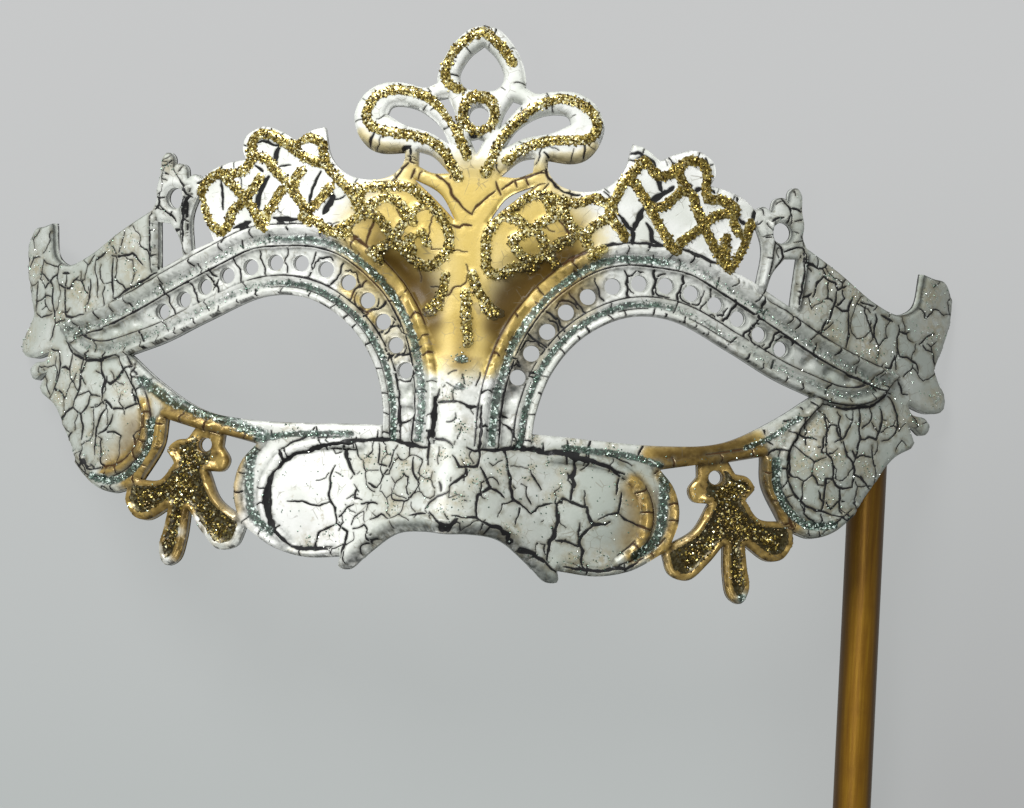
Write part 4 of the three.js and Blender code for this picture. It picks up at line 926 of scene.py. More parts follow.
def foot_cracks(foot, spans, overlap, opened, widths, taper):
    """Cracks along a foot, in stretches of a random number of points. Some of them stay shut."""
    cracks, start = [], 0
    while start < len(foot) - spans[0] + 1:
        end = min(len(foot), start + int(random.integers(*spans)))
        if random.random() < opened:
            cracks.append(crack(foot[start:end], random.uniform(*widths), (taper, taper)))
        start = end - overlap
    return cracks


def band_cracks(side, top, low):
    """Cracks along the feet of the band's ridges, across the ridges and round the holes."""
    cracks = []
    for line, inward, feet, lanes in ((top, 1, OUTER_FEET, OUTER_LANES), (low, -1, INNER_FEET, INNER_LANES)):
        for distance, half_width, opened in feet:
            foot = resample(offset(line, inward * distance), 0.9)
            wander = np.cumsum(random.uniform(-0.05, 0.05, len(foot)))
            foot = foot + (wander - wander.mean())[:, None] * 0.3
            cracks += foot_cracks(foot, (5, 22), 1, opened, (0.5 * half_width, 1.3 * half_width), 0.4)
        for near, far, pitch in lanes:
            at = random.uniform(1, 4)
            while at < lengths(line)[-1] - 2:
                a, ahead = heading(line, at, 0.4)
                into = inward * right_of(ahead)
                slant = random.uniform(-0.5, 0.5)
                reach = far if random.random() < 0.75 else near + 0.6 * (far - near)
                across = jagged(a + into * near, a + into * reach + ahead * slant)
                cracks.append(crack(across, random.choice([0.05, 0.07, 0.1, 0.14])))
                at += random.uniform(pitch, 2.8 * pitch)
    for i, centre in enumerate(hole_centres):
        if i:
            between = centre - hole_centres[i - 1]
            ahead = between / np.hypot(*between)
            across = -right_of(ahead)
            middle = (hole_centres[i - 1] + centre) / 2
            shift = ahead * random.uniform(-0.4, 0.4)
            line = jagged(middle + across * 2.6, middle - across * 2.3 + shift, 0.2)
            cracks.append(crack(line, random.choice([0.09, 0.13, 0.17])))
        if random.random() < (0.85 if centre[0] < 30 else 0.45):
            start = random.uniform(0, 2 * math.pi)
            turn = np.linspace(start, start + random.uniform(1.6, 4.2), 12)
            radius = HOLE_RADIUS + random.uniform(0.4, 0.95, len(turn))[:, None]
            around = centre + radius * np.column_stack([np.cos(turn), np.sin(turn)])
            cracks.append(crack(jagged_line(around), 0.11, (0.4, 0.4)))
    return [(line * (side, 1), width) for line, width in cracks]


def moulding_cracks(side, width, points):
    """Cracks along the feet of a moulding and across it."""
    line = smooth(points, 0.9)
    cracks = []
    for distance in (-width / 2, width / 2):
        cracks += foot_cracks(offset(line, distance), (4, 16), 0, 0.45, (0.05, 0.12), 0.3)
    at = random.uniform(0.5, 3)
    while at < lengths(line)[-1]:
        a, ahead = heading(line, at, 0.3)
        across = right_of(ahead) * width * 0.55
        cracks.append(crack(jagged(a - across, a + across), random.choice([0.05, 0.08, 0.11])))
        at += random.uniform(3.0, 9.0)
    return [(line * (side, 1), half_width) for line, half_width in cracks]


def edge_cracks(loops):
    """Short cracks that run in from the edges of the crest, the fans and the spires."""
    cracks = []
    for ring in loops:
        at = random.uniform(0, 3)
        total = lengths(ring)[-1]
        while at < total - 1:
            a, ahead = heading(ring, at, 0.4)
            for into in (right_of(ahead), -right_of(ahead)):
                end = a + into * random.uniform(1.0, 2.8) + ahead * random.uniform(-0.6, 0.6)
                if a[1] > 40 - 0.1 * abs(a[0]) and inside(np.array([a + into * 0.4]), loops)[0]:
                    line = jagged(a - into * 0.2, end)
                    cracks.append(crack(line, random.choice([0.01, 0.03, 0.05, 0.09]), (1, 0.2)))
            at += random.uniform(3.0, 8.0)
    return cracks


def all_cracks(loops, top, low):
    single = FAN_CRACKS + NOSE_CRACKS + CHEEK_CRACKS + WING_CRACKS
    cracks = [crack(jagged_line(line), half_width * CRACK_WIDEN + CRACK_LEAST, (0.35, 0.35))
              for half_width, line in single]
    cracks += network((-96, -36), (96, 46), 3.8, wing_chance, 0.075, 1.5)
    cracks += network((-24, -34), (24, 10), 2.7, nose_chance, 0.045, 1.3)
    cracks += network((-56, -34), (56, 48), 7.2, panel_chance, 0.05)
    for side in (1, -1):
        cracks += band_cracks(side, top, low)
        for width, _, points in MOULDINGS:
            cracks += moulding_cracks(side, width, points)
    return cracks + edge_cracks(loops)


def jagged_line(points):
    pieces = [jagged(a, b, 0.09)[:-1] for a, b in zip(points, points[1:])]
    return np.vstack([*pieces, [points[-1]]])


def crack_gap(points, cracks):
    """Distance from each point to the side of the nearest crack, negative inside it."""
    sites = Sites(points)
    gap = np.full(len(points), 1.4)
    for line, width in cracks:
        gap = np.minimum(gap, sites.distance(line, 1.4, width))
    return gap


# The raised surface and what lies on it

def ridge(distance, near, far, height):
    t = (distance - (near + far) / 2) / ((far - near) / 2)
    return height * np.maximum(0, 1 - t * t) ** 0.6


def bed(sites, lines, half_width):
    """1 along the middle of the lines, falling to 0 at their edges and negative beyond."""
    found = np.full(len(sites.points), -1.0)
    for line in lines:
        found = np.maximum(found, 1 - sites.distance(smooth(line, 0.6), 2.4 * half_width) / half_width)
    return found


def spray(sites, both, right, left):
    """How much paint the sprays leave at each point. Those of both that start in the middle count once."""
    bare = np.ones(len(sites.points))
    left = left + [item for item in both if item[2][0][0] > 0]
    for side, sprays in ((1, right + both), (-1, left)):
        for radius, strength, line in sprays:
            gap = sites.distance(smooth(np.array(line) * (side, 1), 1.5), 2.2 * radius)
            bare *= 1 - strength * np.exp(-((gap / radius) ** 2) * 1.4) * (gap < 2.1 * radius)
    return 1 - bare


def spotted(points, spots):
    """Near 1 in the spots, 0 away from them."""
    clean = np.ones(len(points))
    for x, y, radius in spots:
        clean *= 1 - 0.9 * np.exp(-((points - (x, y)) ** 2).sum(axis=1) / radius**2)
    return 1 - clean


def fade(gap, reach, power=2):
    """1 at no gap, falling smoothly to 0 beyond the reach."""
    return np.exp(-((gap / reach) ** power))


def pit_shade(points, x, y):
    """The painted shadow, a dark crescent at the upper left of each hole and dimple of the band, as in the
    photo.
    """
    pits = np.vstack([hole_centres, dimple_centres])
    gaps = np.array([np.hypot(x - cx, y - cy) for cx, cy in pits])
    nearest = np.argmin(gaps, axis=0)
    gap = np.maximum(gaps.min(axis=0), 0.1)
    is_dimple = nearest >= len(hole_centres)
    away = np.column_stack([x, y]) - pits[nearest]
    upper_left = 0.8 * away[:, 1] - 0.6 * np.sign(points[:, 0]) * away[:, 0]
    radius = np.where(is_dimple, DIMPLE_RADIUS, HOLE_RADIUS)
    return np.clip(upper_left / gap, 0, 1) * fade(gap - radius, 0.5) * (1 + 0.33 * is_dimple)


def from_both_sides(sites, line, reach):
    """Distance to the line and to its mirror image, whichever is nearer."""
    return np.minimum(sites.distance(line, reach), sites.distance(line * (-1, 1), reach))


def band_level(x, y, from_top, from_low, in_strip):
    """Height of the eye bands: ridges, grooves, the sunken strip of the holes, and the dimples."""
    level = np.where(in_strip, STRIP_DEPTH, GROOVE_LEVEL)
    for gap, opposite, ridges in ((from_top, from_low, OUTER_RIDGES), (from_low, from_top, INNER_RIDGES)):
        for near, far, rise in ridges:
            level = np.maximum(level, ridge(gap, near, far, rise) * (opposite > 1.2 * near))
    dimple_gap = np.min([np.hypot(x - cx, y - cy) for cx, cy in dimple_centres], axis=0)
    return level - DIMPLE_DEPTH * fade(dimple_gap, 1.05 * DIMPLE_RADIUS, 4) * (from_top > 2) * (from_low > 2)


def relief(points, loops, cracks, top, low):
    """Height of the surface above the bend, and the weights that the paint follows, at each point."""
    sites = Sites(points)
    x, y = np.abs(points[:, 0]), points[:, 1]
    edge = np.min([sites.distance(np.vstack([ring, ring[:1]]), 3.2) for ring in loops], axis=0)
    on_band = inside(np.column_stack([x, y]), [np.vstack([top, low[::-1]])])
    from_top, from_low = (from_both_sides(sites, line, 9) for line in (top, low))
    in_strip = (from_top > STRIP_FROM_OUTER) & (from_low > STRIP_FROM_INNER)
    height = np.where(on_band, band_level(x, y, from_top, from_low, in_strip), 0)
    for width, rise, line in MOULDINGS:
        bar = ridge(from_both_sides(sites, smooth(line, 1.0), width), -width / 2, width / 2, rise)
        height = np.maximum(height, np.where(on_band, -9, bar))

    # Rounded bars of the crest, rims of the pendants, rolled rims at the loops' undersides and the nose arch
    crest = np.clip((y - 42 - 0.12 * x) / 3, 0, 1) * (x < 26)
    bar = np.sqrt(1 - (1 - np.clip(edge / 1.4, 0, 1)) ** 2)
    height += crest * (1.0 * bar - 0.1)
    (spire_x, spire_y, _), (pendant_x, pendant_y, pendant_hole) = SIDE_HOLES
    pendant = (y < -10) & (x > 40) & (x < 65) & (from_pendant(sites) < 3.6)
    from_hole = np.hypot(x - pendant_x, y - pendant_y) - pendant_hole
    rim = np.where((from_hole > 0.2) & (from_hole < edge + 0.05), 1.8, edge)
    height = np.maximum(height, np.where(pendant, ridge(rim, 0, 1.5, 0.95), -9))
    under_loop = np.clip((49.2 - y) / 2, 0, 1) * np.clip((x - 13.2) / 1.5, 0, 1) * (x < 25) * (y > 45)
    arch = np.clip((22 - x) / 3, 0, 1) * (y < -20)
    height += 0.45 * fade(np.abs(np.hypot(x - spire_x, y - spire_y) - 2.8), 0.55)
    height += 0.9 * arch * fade(edge - 1.3, 0.9)
    radius = 0.55 + 1.75 * under_loop + 1.4 * arch
    drop = np.minimum(radius, 1.7)
    height -= drop * (1 - np.sqrt(1 - (1 - np.clip(edge / radius, 0, 1)) ** 2))

    # Beds of glitter
    glitter = bed(sites, GOLD_BOTH + GOLD_RIGHT + GOLD_LEFT, GOLD_HALF_WIDTH)
    bulb = (y > -16.4) & ((x < 47.2) | ((points[:, 0] < 0) & (x > 53.6)))
    glitter = np.where(pendant, np.where(bulb, -1, np.clip((rim - 1.2) / 0.6, -1, 0.7)), glitter)
    frost = -np.ones(len(points))
    for half_width, line in frost_lines():
        frost = np.maximum(frost, bed(sites, [line], half_width))
    grooves = np.maximum(1 - np.abs(from_top - OUTER_GROOVE) / 1.0, 1 - np.abs(from_low - INNER_GROOVE) / 0.8)
    grooves = np.minimum(grooves, 1 - 0.85 * np.clip((x - 26) / 16, 0, 1))
    frost = np.maximum(frost, np.where(on_band, grooves, -1))
    height += 0.32 * np.clip(glitter, 0, 1) ** 0.5 + 0.1 * np.clip(frost, 0, 1)

    # Painted shade in the grooves, in the holes, under the rims and loops, at the nose arch and along the
    # edges, and a plain darker grey over the bands and the centre column
    column = (x < 3.8) & (np.abs(y) < 8.5)
    shade_and_grime_marks = [0.38 * on_band, 0.4 * column, 0.75 * pit_shade(points, x, y)]
    for gap, darkening in ((from_top, OUTER_SHADE), (from_low, INNER_SHADE)):
        shade_and_grime_marks += [strength * fade(gap - middle, reach) * on_band for middle, reach, strength in darkening]
    from_strip = sites.distance(smooth(GREY_STRIP, 1.0), 6)
    shade_and_grime_marks += [
        0.85 * fade(from_top, 0.5) * (x > 54),
        0.95 * fade(from_low, 0.6) * (x > 44),
        fade(from_strip, 3, 4) * in_strip,
        0.4 * crest * fade(edge - 0.1, 0.5),
        arch * fade(edge, 1.3),
        0.9 * under_loop * fade(edge, 0.9),
        0.7 * fade(edge, 0.5) * ((y < 12) | (x > 54)) * ~pendant,
        0.4 * np.clip(frost + 0.6, 0, 1),
        pendant * fade(rim - 1.5, 0.4),
        pendant * fade(edge, 0.4),
    ]
    for width, _, line in MOULDINGS:
        shade_and_grime_marks.append(0.85 * fade(from_both_sides(sites, smooth(line, 1.0), 3 * width) - 0.55 * width, 0.45))

    opened = crack_gap(points, cracks)
    opened = np.where(edge < 0.02, np.maximum(opened, 0.15), opened)
    height -= 0.13 * np.clip(1 - opened / 0.28, 0, 1) * (edge > 0.1)
    kept = 1 - spotted(points, WORN_SPOTS)
    umber_and_shade = kept * np.where(on_band & (from_top < 2.2), 0.3, 1)
    return dict(height=height, edge=edge, glitter=glitter, frost=frost, crack=opened,
                shade_and_grime=np.max(shade_and_grime_marks, axis=0),
                dust=spotted(points, DUST_SPOTS),
                gold=kept * spray(sites, GOLD_SPRAY, GOLD_SPRAY_RIGHT, GOLD_SPRAY_LEFT),
                umber_and_shade=umber_and_shade * spray(sites, UMBER_AND_SHADE_SPRAY, UMBER_AND_SHADE_SPRAY_RIGHT, UMBER_AND_SHADE_SPRAY_LEFT))


def frost_lines():
    lines = [(width, np.array(line)) for width, line in FROST_LINES + FROST_RIGHT]
    return lines + [(width, mirror(np.array(line))) for width, line in FROST_LINES + FROST_LEFT]


def from_pendant(sites):
    lines = [smooth(line, 1.0) for line in PENDANT_LINES]
    return np.min([sites.distance(l * (side, 1), 4) for l in lines for side in (1, -1)], axis=0)


# The mesh of the shell

class Placed:
    """Points kept apart by a least gap, found through a grid of small cells."""

    cell = 0.5

    def __init__(self, points):
        self.points = []
        self.cells = {}
        for p in points:
            self.keep(p)

    def keep(self, p):
        self.cells.setdefault((int(p[0] // self.cell), int(p[1] // self.cell)), []).append(p)
        self.points.append(p)

    def add(self, points, gap):
        least = gap * gap
        for p in map(tuple, points):
            cx, cy = int(p[0] // self.cell), int(p[1] // self.cell)
            close = False
            for i in (cx - 1, cx, cx + 1):
                for j in (cy - 1, cy, cy + 1):
                    for q in self.cells.get((i, j), ()):
                        if (p[0] - q[0]) ** 2 + (p[1] - q[1]) ** 2 < least:
                            close = True
                            break
            if not close:
                self.keep(p)


def hexagons(step):
    """Points in staggered rows over the whole mask, each moved a little."""
    xs = np.arange(-97, 97, step)
    ys = np.arange(-37, 74, step * math.sqrt(3) / 2)
    grid = np.array([(x + step / 2 * (j % 2), y) for j, y in enumerate(ys) for x in xs])
    return grid + random.uniform(-0.05, 0.05, grid.shape) * step


def triangulate(points, edges, loops):
    flat = delaunay_2d_cdt([Vector(p) for p in points], edges, [], 0, 1e-7, False)
    corners = np.array([tuple(v) for v in flat[0]])
    triangles = np.array(flat[2])
    kept = triangles[inside(corners[triangles].mean(axis=1), loops)]
    a, b, c = (corners[kept[:, k]] for k in range(3))
    area = (b[:, 0] - a[:, 0]) * (c[:, 1] - a[:, 1]) - (b[:, 1] - a[:, 1]) * (c[:, 0] - a[:, 0])
    kept[area < 0] = kept[area < 0][:, ::-1]
    return corners, kept[np.abs(area) > 1e-9]


def ring_edges(loops):
    edges, start = [], 0
    for ring in loops:
        count = len(ring)
        edges += [(start + i, start + (i + 1) % count) for i in range(count)]
        start += count
    return edges


def feature_rows(loops, top, low):
    """Rows of points along feet and crowns, so that the facets follow the relief."""
    rows = []
    for side in (1, -1):
        for line, inward, ridges in ((top, 1, OUTER_RIDGES), (low, -1, INNER_RIDGES)):
            for near, far, _ in ridges:
                rows += [offset(line, inward * d) * (side, 1) for d in (near, (near + far) / 2, far)]
        for width, _, points in MOULDINGS:
            curve = smooth(points, ROW_STEP)
            rows += [offset(curve, d) * (side, 1) for d in (0.001, width / 2, -width / 2)]
        for x, y in hole_centres:
            rows += [circle(side * x, y, radius) for radius in (1.8, 2.15, 2.5)]
    for ring in loops:
        closed = np.vstack([ring, ring[:1]])
        for distance in (0.24, 0.52):
            rows += [offset(closed, distance), offset(closed, -distance)]
    return rows


def between_cracks(points, triangles, cracks):
    """The middles of the edges whose two ends lie on cracks while the paint between them is whole."""
    sides = np.sort(np.vstack([triangles[:, [0, 1]], triangles[:, [1, 2]], triangles[:, [2, 0]]]), axis=1)
    sides = np.unique(sides, axis=0)
    ends = points[sides]
    gap = crack_gap(points, cracks)[sides].mean(axis=1)
    near = (gap < 0.3) & (np.hypot(*(ends[:, 0] - ends[:, 1]).T) > 0.3)
    middles = ends[near].mean(axis=1)
    return middles[crack_gap(middles, cracks) - gap[near] > 0.09]


SURFACE = ("height", "edge", "glitter", "frost", "crack", "shade_and_grime", "dust", "gold", "umber_and_shade")


def shell_mesh(loops, cracks, top, low):
    """The points and faces of the shell's front, back and walls, and the paint's weights at the points."""
    rim = np.vstack(loops)
    edges = ring_edges(loops)
    placed = Placed(map(tuple, rim))
    for line, _ in cracks:
        placed.add(resample(line, CRACK_STEP), ROW_GAP)
    for row in feature_rows(loops, top, low):
        placed.add(resample(row, ROW_STEP), ROW_GAP)
    placed.add(hexagons(FILL_STEP), FILL_GAP)
    front, triangles = triangulate(placed.points, edges, loops)
    placed.add(between_cracks(front, triangles, cracks), 0.15)
    front, triangles = triangulate(placed.points, edges, loops)
    used = np.unique(triangles)
    surface = {name: np.zeros(len(front)) for name in SURFACE}
    for name, values in relief(front[used], loops, cracks, top, low).items():
        surface[name][used] = values

    behind = Placed(map(tuple, rim))
    behind.add(hexagons(BACK_STEP), BACK_GAP)
    back, back_triangles = triangulate(behind.points, edges, loops)

    points = np.vstack([bend(front, surface["height"]), bend(back, np.full(len(back), -WALL))])
    start = len(front)
    walls = []
    for a, b in edges:
        walls += [(a, start + a, start + b), (a, start + b, b)]
    faces = np.vstack([triangles, back_triangles[:, ::-1] + start, np.array(walls)])
    weights = {name: np.concatenate([values, np.zeros(len(back))]) for name, values in surface.items()}
    for name, value in (("crack", 1.4), ("glitter", -1), ("frost", -1)):
        weights[name][start:] = value
    for name in ("gold", "umber_and_shade"):
        weights[name][start:start + len(rim)] = surface[name][:len(rim)]
    weights["depth"] = np.concatenate([np.zeros(len(front)), np.ones(len(back))])
    return points, faces, weights


def new_object(name, data):
    made = bpy.data.objects.new(name, data)
    bpy.context.scene.collection.objects.link(made)
    return made


def make_mesh(name, points, faces, weights=None, smooth_faces=True):
    used = np.unique(faces)
    number = np.full(len(points), -1)
    number[used] = np.arange(len(used))
    points, faces = points[used], number[faces]
    mesh = bpy.data.meshes.new(name)
    mesh.vertices.add(len(points))
    mesh.vertices.foreach_set("co", (points * MM).astype(np.float32).ravel())
    mesh.loops.add(faces.size)
    mesh.loops.foreach_set("vertex_index", faces.astype(np.int32).ravel())
    mesh.polygons.add(len(faces))
    mesh.polygons.foreach_set("loop_start", np.arange(0, faces.size, faces.shape[1], dtype=np.int32))
    mesh.polygons.foreach_set("use_smooth", np.full(len(faces), smooth_faces))
    mesh.update(calc_edges=True)
    for label, values in (weights or {}).items():
        layer = mesh.attributes.new(label, "FLOAT", "POINT")
        layer.data.foreach_set("value", values[used].astype(np.float32))
    return new_object(name, mesh)


# Materials

class Paint:
    """A material's node tree, with short calls for its nodes. Colours are given as on a screen, 0 to 255."""

    def __init__(self, name):
        self.material = bpy.data.materials.new(name)
        self.material.use_nodes = True
        self.tree = self.material.node_tree
        self.tree.nodes.clear()
        self.shader = self.node("ShaderNodeBsdfPrincipled")
        output = self.node("ShaderNodeOutputMaterial")
        self.tree.links.new(self.shader.outputs["BSDF"], output.inputs["Surface"])

    def node(self, kind, inputs=(), **settings):
        made = self.tree.nodes.new(kind)
        for name, value in settings.items():
            setattr(made, name, value)
        for socket, value in inputs:
            self.feed(made.inputs[socket], value)
        return made

    def feed(self, socket, value):
        if isinstance(value, bpy.types.NodeSocket):
            self.tree.links.new(value, socket)
        else:
            socket.default_value = colour(value) if socket.type == "RGBA" else value

    def set(self, **values):
        for name, value in values.items():
            self.feed(self.shader.inputs[name.replace("_", " ")], value)

    def weight(self, name):
        return self.node("ShaderNodeAttribute", attribute_name=name).outputs["Fac"]

    def math(self, operation, a, b=0.0, clamp=False):
        return self.node("ShaderNodeMath", ((0, a), (1, b)), operation=operation, use_clamp=clamp).outputs[0]

    def times(self, a, b, clamp=False):
        return self.math("MULTIPLY", a, b, clamp)

    def plus(self, a, b, clamp=False):
        return self.math("ADD", a, b, clamp)

    def roughen(self, value, noise, amount, clamp=False):
        """The value, moved up and down by the noise."""
        return self.plus(value, self.times(self.math("SUBTRACT", noise, 0.5), amount), clamp)

    def step(self, value, low, high, to_low=0.0, to_high=1.0):
        """Rises smoothly from to_low to to_high while the value goes from low to high."""
        inputs = enumerate((value, low, high, to_low, to_high))
        return self.node("ShaderNodeMapRange", inputs, interpolation_type="SMOOTHSTEP").outputs[0]

    def place(self):
        """Object coordinates in millimetres."""
        coordinates = self.node("ShaderNodeTexCoord").outputs["Object"]
        inputs = ((0, coordinates), ("Scale", 1 / MM))
        return self.node("ShaderNodeVectorMath", inputs, operation="SCALE").outputs[0]

    def axes(self, vector):
        return self.node("ShaderNodeSeparateXYZ", ((0, vector),)).outputs[:3]

    def noise(self, place, scale, detail=3.0, roughness=0.55):
        inputs = (("Vector", place), ("Scale", scale), ("Detail", detail), ("Roughness", roughness))
        return self.node("ShaderNodeTexNoise", inputs).outputs[0]

    def cells(self, place, scale, output="Color", feature="F1"):
        inputs = (("Vector", place), ("Scale", scale))
        return self.node("ShaderNodeTexVoronoi", inputs, feature=feature).outputs[output]

    def mix(self, factor, a, b):
        return self.node("ShaderNodeMix", ((0, factor), (6, a), (7, b)), data_type="RGBA").outputs[2]

    def blend(self, factor, a, b):
        return self.node("ShaderNodeMix", ((0, factor), (2, a), (3, b)), data_type="FLOAT").outputs[0]

    def ramp(self, value, stops):
        made = self.node("ShaderNodeValToRGB", ((0, value),))
        elements = made.color_ramp.elements
        while len(elements) < len(stops):
            elements.new(0.5)
        for element, (position, shade) in zip(elements, stops):
            element.position = position
            element.color = colour(shade)
        return made.outputs[0]

    def bump(self, height, distance, strength=1.0, normal=None):
        inputs = [("Strength", strength), ("Distance", distance * MM), ("Height", height)]
        if normal is not None:
            inputs.append(("Normal", normal))
        return self.node("ShaderNodeBump", inputs).outputs[0]


def colour(shade):
    """A screen colour for a shader."""
    linear = [v / 12.92 if v <= 0.04045 else ((v + 0.055) / 1.055) ** 2.4 for v in (c / 255 for c in shade)]
    return (*linear, 1.0)


def crackle_paint():
    """White paint crackled over black, shaded with gold, with beds of glitter."""
    p = Paint("crackle_paint")
    at = p.place()
    gold, umber_and_shade, depth, shade_and_grime, dust = (p.weight(name) for name in ("gold", "umber_and_shade", "depth", "shade_and_grime", "dust"))
    glitter, frost, opened = (p.weight(name) for name in ("glitter", "frost", "crack"))
    broad, fine, grain = p.noise(at, 0.11, 4), p.noise(at, 0.9, 4), p.noise(at, 5.0, 3)
    across, along, _ = p.axes(at)
    low = p.step(along, 104.0, 112.0, 1.0, 0.0)

    # White paint with pale stains, and a grey tone on the wings, the nose and the right of the brow that is
    # partly patina and partly painted shade, heavier on the right side, away from the light
    white = p.mix(p.step(broad, 0.35, 0.7), (247, 248, 243), (226, 229, 219))
    stain = p.times(p.step(fine, 0.56, 0.72), p.step(p.noise(at, 0.23, 2), 0.5, 0.62))
    white = p.mix(p.times(stain, 0.6), white, (180, 168, 134))
    sideways = p.plus(p.step(across, -26.0, -4.0, 0.0, 0.62), p.step(across, 0.0, 30.0, 0.0, 0.32))
    on_nose = p.times(sideways, p.step(along, 101.0, 107.0, 1.0, 0.15))
    tarnish_and_shade = p.plus(p.step(p.math("ABSOLUTE", across), 46.0, 74.0, 0.0, 0.78), on_nose)
    tarnish_and_shade = p.times(tarnish_and_shade, p.step(broad, 0.2, 0.6, 0.75, 1.1), clamp=True)
    white = p.mix(tarnish_and_shade, white, (168, 175, 165))
    dusty = p.times(dust, p.step(fine, 0.3, 0.62))
    white = p.mix(p.times(dusty, 0.8), white, (162, 150, 114))

    # Gilding, duller on the pendants, its brown paint with painted shade in the hollows, then painted shade
    # in the grooves, under the rims and along the edges
    sprayed = p.roughen(gold, fine, 0.22, clamp=True)
    gilding = p.ramp(sprayed, [(0.0, (240, 236, 220)), (0.3, (230, 220, 182)), (0.62, (222, 200, 128)),
                               (1.0, (212, 186, 100))])
    gilding = p.mix(low, gilding, p.mix(fine, (232, 202, 120), (140, 106, 42)))
    body = p.mix(p.step(sprayed, 0.04, p.blend(low, 0.3, 0.75)), white, gilding)
    body = p.mix(p.times(umber_and_shade, 0.97), body, (80, 58, 6))
    darkening = p.mix(p.step(shade_and_grime, 0.35, 0.95), (112, 119, 108), (50, 54, 50))
    darkening = p.mix(p.step(gold, 0.3, 0.8), darkening, p.mix(low, (92, 64, 26), (50, 34, 12)))
    body = p.mix(p.times(shade_and_grime, p.step(fine, 0.2, 0.75, 0.35, 1.0)), body, darkening)

    # Hair-fine cracks, then the opened ones with stained sides
    hair = p.step(p.cells(at, 0.42, "Distance", "DISTANCE_TO_EDGE"), 0.012, 0.035, 1.0, 0.0)
    hair = p.times(hair, p.step(p.noise(at, 0.3, 2), 0.5, 0.6))
    body = p.mix(p.times(hair, 0.5), body, (120, 112, 92))
    ragged = p.roughen(opened, grain, 0.12)
    line = p.step(ragged, 0.0, 0.09, 1.0, 0.0)
    body = p.mix(p.step(opened, 0.03, 0.4, 0.34, 0.0), body, (104, 102, 92))
    blotch = p.times(p.step(opened, 0.05, 1.1, 0.75, 0.0), p.step(p.noise(at, 0.5, 3), 0.4, 0.62))
    body = p.mix(p.times(blotch, tarnish_and_shade), body, (112, 106, 82))
    body = p.mix(line, body, p.mix(p.step(gold, 0.35, 0.8), (12, 12, 12), (78, 52, 20)))

    # Dark, unpainted back
    body = p.mix(p.step(p.roughen(depth, fine, 0.4), 0.6, 0.9), body, (24, 23, 22))

    # Beds of fine chips under the glitter, each cell of its own tone from dark to nearly white: the brightest
    # cells are painted glints, and the gold beds are darker on the right side as painted shade
    chip = p.node("ShaderNodeSeparateColor", ((0, p.cells(at, 2.6)),)).outputs[0]
    gold_bed = p.ramp(chip, [(0.0, (50, 40, 10)), (0.3, (112, 94, 34)), (0.6, (180, 160, 80)),
                             (0.85, (240, 228, 160)), (1.0, (255, 252, 215))])
    gold_bed = p.mix(p.times(umber_and_shade, 0.95), gold_bed, (58, 46, 18))
    gold_bed = p.mix(p.step(across, 22.0, 34.0, 0.0, 0.6), gold_bed, (112, 96, 40))
    gold_bed = p.mix(p.times(low, 0.82), gold_bed, (36, 30, 12))
    on_gold = p.step(p.roughen(glitter, p.noise(at, 1.3, 3), 0.9), 0.06, 0.16)
    body = p.mix(on_gold, body, gold_bed)
    frost_bed = p.ramp(chip, [(0.0, (20, 34, 28)), (0.55, (44, 64, 54)), (0.84, (88, 114, 100)),
                              (0.95, (225, 242, 232))])
    on_frost = p.times(p.step(p.roughen(frost, fine, 0.9), 0.05, 0.5), 0.88)
    body = p.mix(on_frost, body, frost_bed)

    leaf = p.times(sprayed, p.blend(low, p.blend(umber_and_shade, 0.3, 0.85), 0.6))
    metallic = p.math("MAXIMUM", leaf, p.times(on_gold, 0.5))
    chips = p.math("MAXIMUM", on_gold, on_frost)
    roughness = p.blend(line, p.blend(leaf, 0.42, p.blend(low, 0.38, 0.22)), 0.85)
    roughness = p.blend(chips, roughness, 0.3)
    roughness = p.blend(p.times(umber_and_shade, p.step(low, 0.0, 1.0, 1.0, 0.0)), roughness, 0.75)
    soft = p.bump(p.noise(at, 2.2, 4), 0.05, 0.5)
    edges = p.bump(p.step(ragged, -0.02, 0.22), 0.14, 0.8, soft)
    sparkle = p.bump(p.times(chip, chips), 0.22, 0.9, edges)
    p.set(Base_Color=body, Metallic=metallic, Roughness=roughness, Normal=sparkle)
    p.shader.inputs["Coat Weight"].default_value = 0.12
    p.shader.inputs["Coat Roughness"].default_value = 0.25
    return p.material


# Each chip's tone follows its shine, from dark to nearly white: painted glints, beside the real ones from its
# tilt.
def flake_material(name, stops, roughness):
    p = Paint(name)
    p.set(Base_Color=p.ramp(p.weight("shine"), stops), Metallic=0.6, Roughness=roughness)
    return p.material


def gilt_wood():
    """Gold paint brushed along a wooden rod, with painted shade that turns it browner where its surface faces
    away from above.
    """
    p = Paint("gilt_wood")
    at = p.place()
    squeezed = p.node("ShaderNodeVectorMath", ((0, at), (1, (1, 0.035, 1))), operation="MULTIPLY").outputs[0]
    streak = p.noise(squeezed, 1.6, 5)
    fine = p.noise(at, 3.0, 4)
    wear = p.noise(at, 0.12, 3)
    base = p.ramp(streak, [(0.3, (126, 86, 12)), (0.52, (144, 103, 16)), (0.72, (160, 120, 26))])
    base = p.mix(p.times(p.step(wear, 0.45, 0.7), 0.35), base, (110, 72, 10))
    base = p.mix(p.times(p.step(fine, 0.6, 0.7), 0.2), base, (178, 138, 48))
    # Painted shade: darker brown where the surface turns away from straight up.
    _, _, upward = p.axes(p.node("ShaderNodeNewGeometry").outputs["Normal"])
    base = p.mix(p.step(upward, 0.5, 0.99, 0.85, 0.0), base, (60, 38, 4))
    brushed = p.bump(p.plus(streak, p.times(fine, 0.4)), 0.08, 0.6)
    p.set(Base_Color=base, Metallic=0.5, Roughness=p.blend(fine, 0.36, 0.5), Normal=brushed)
    return p.material


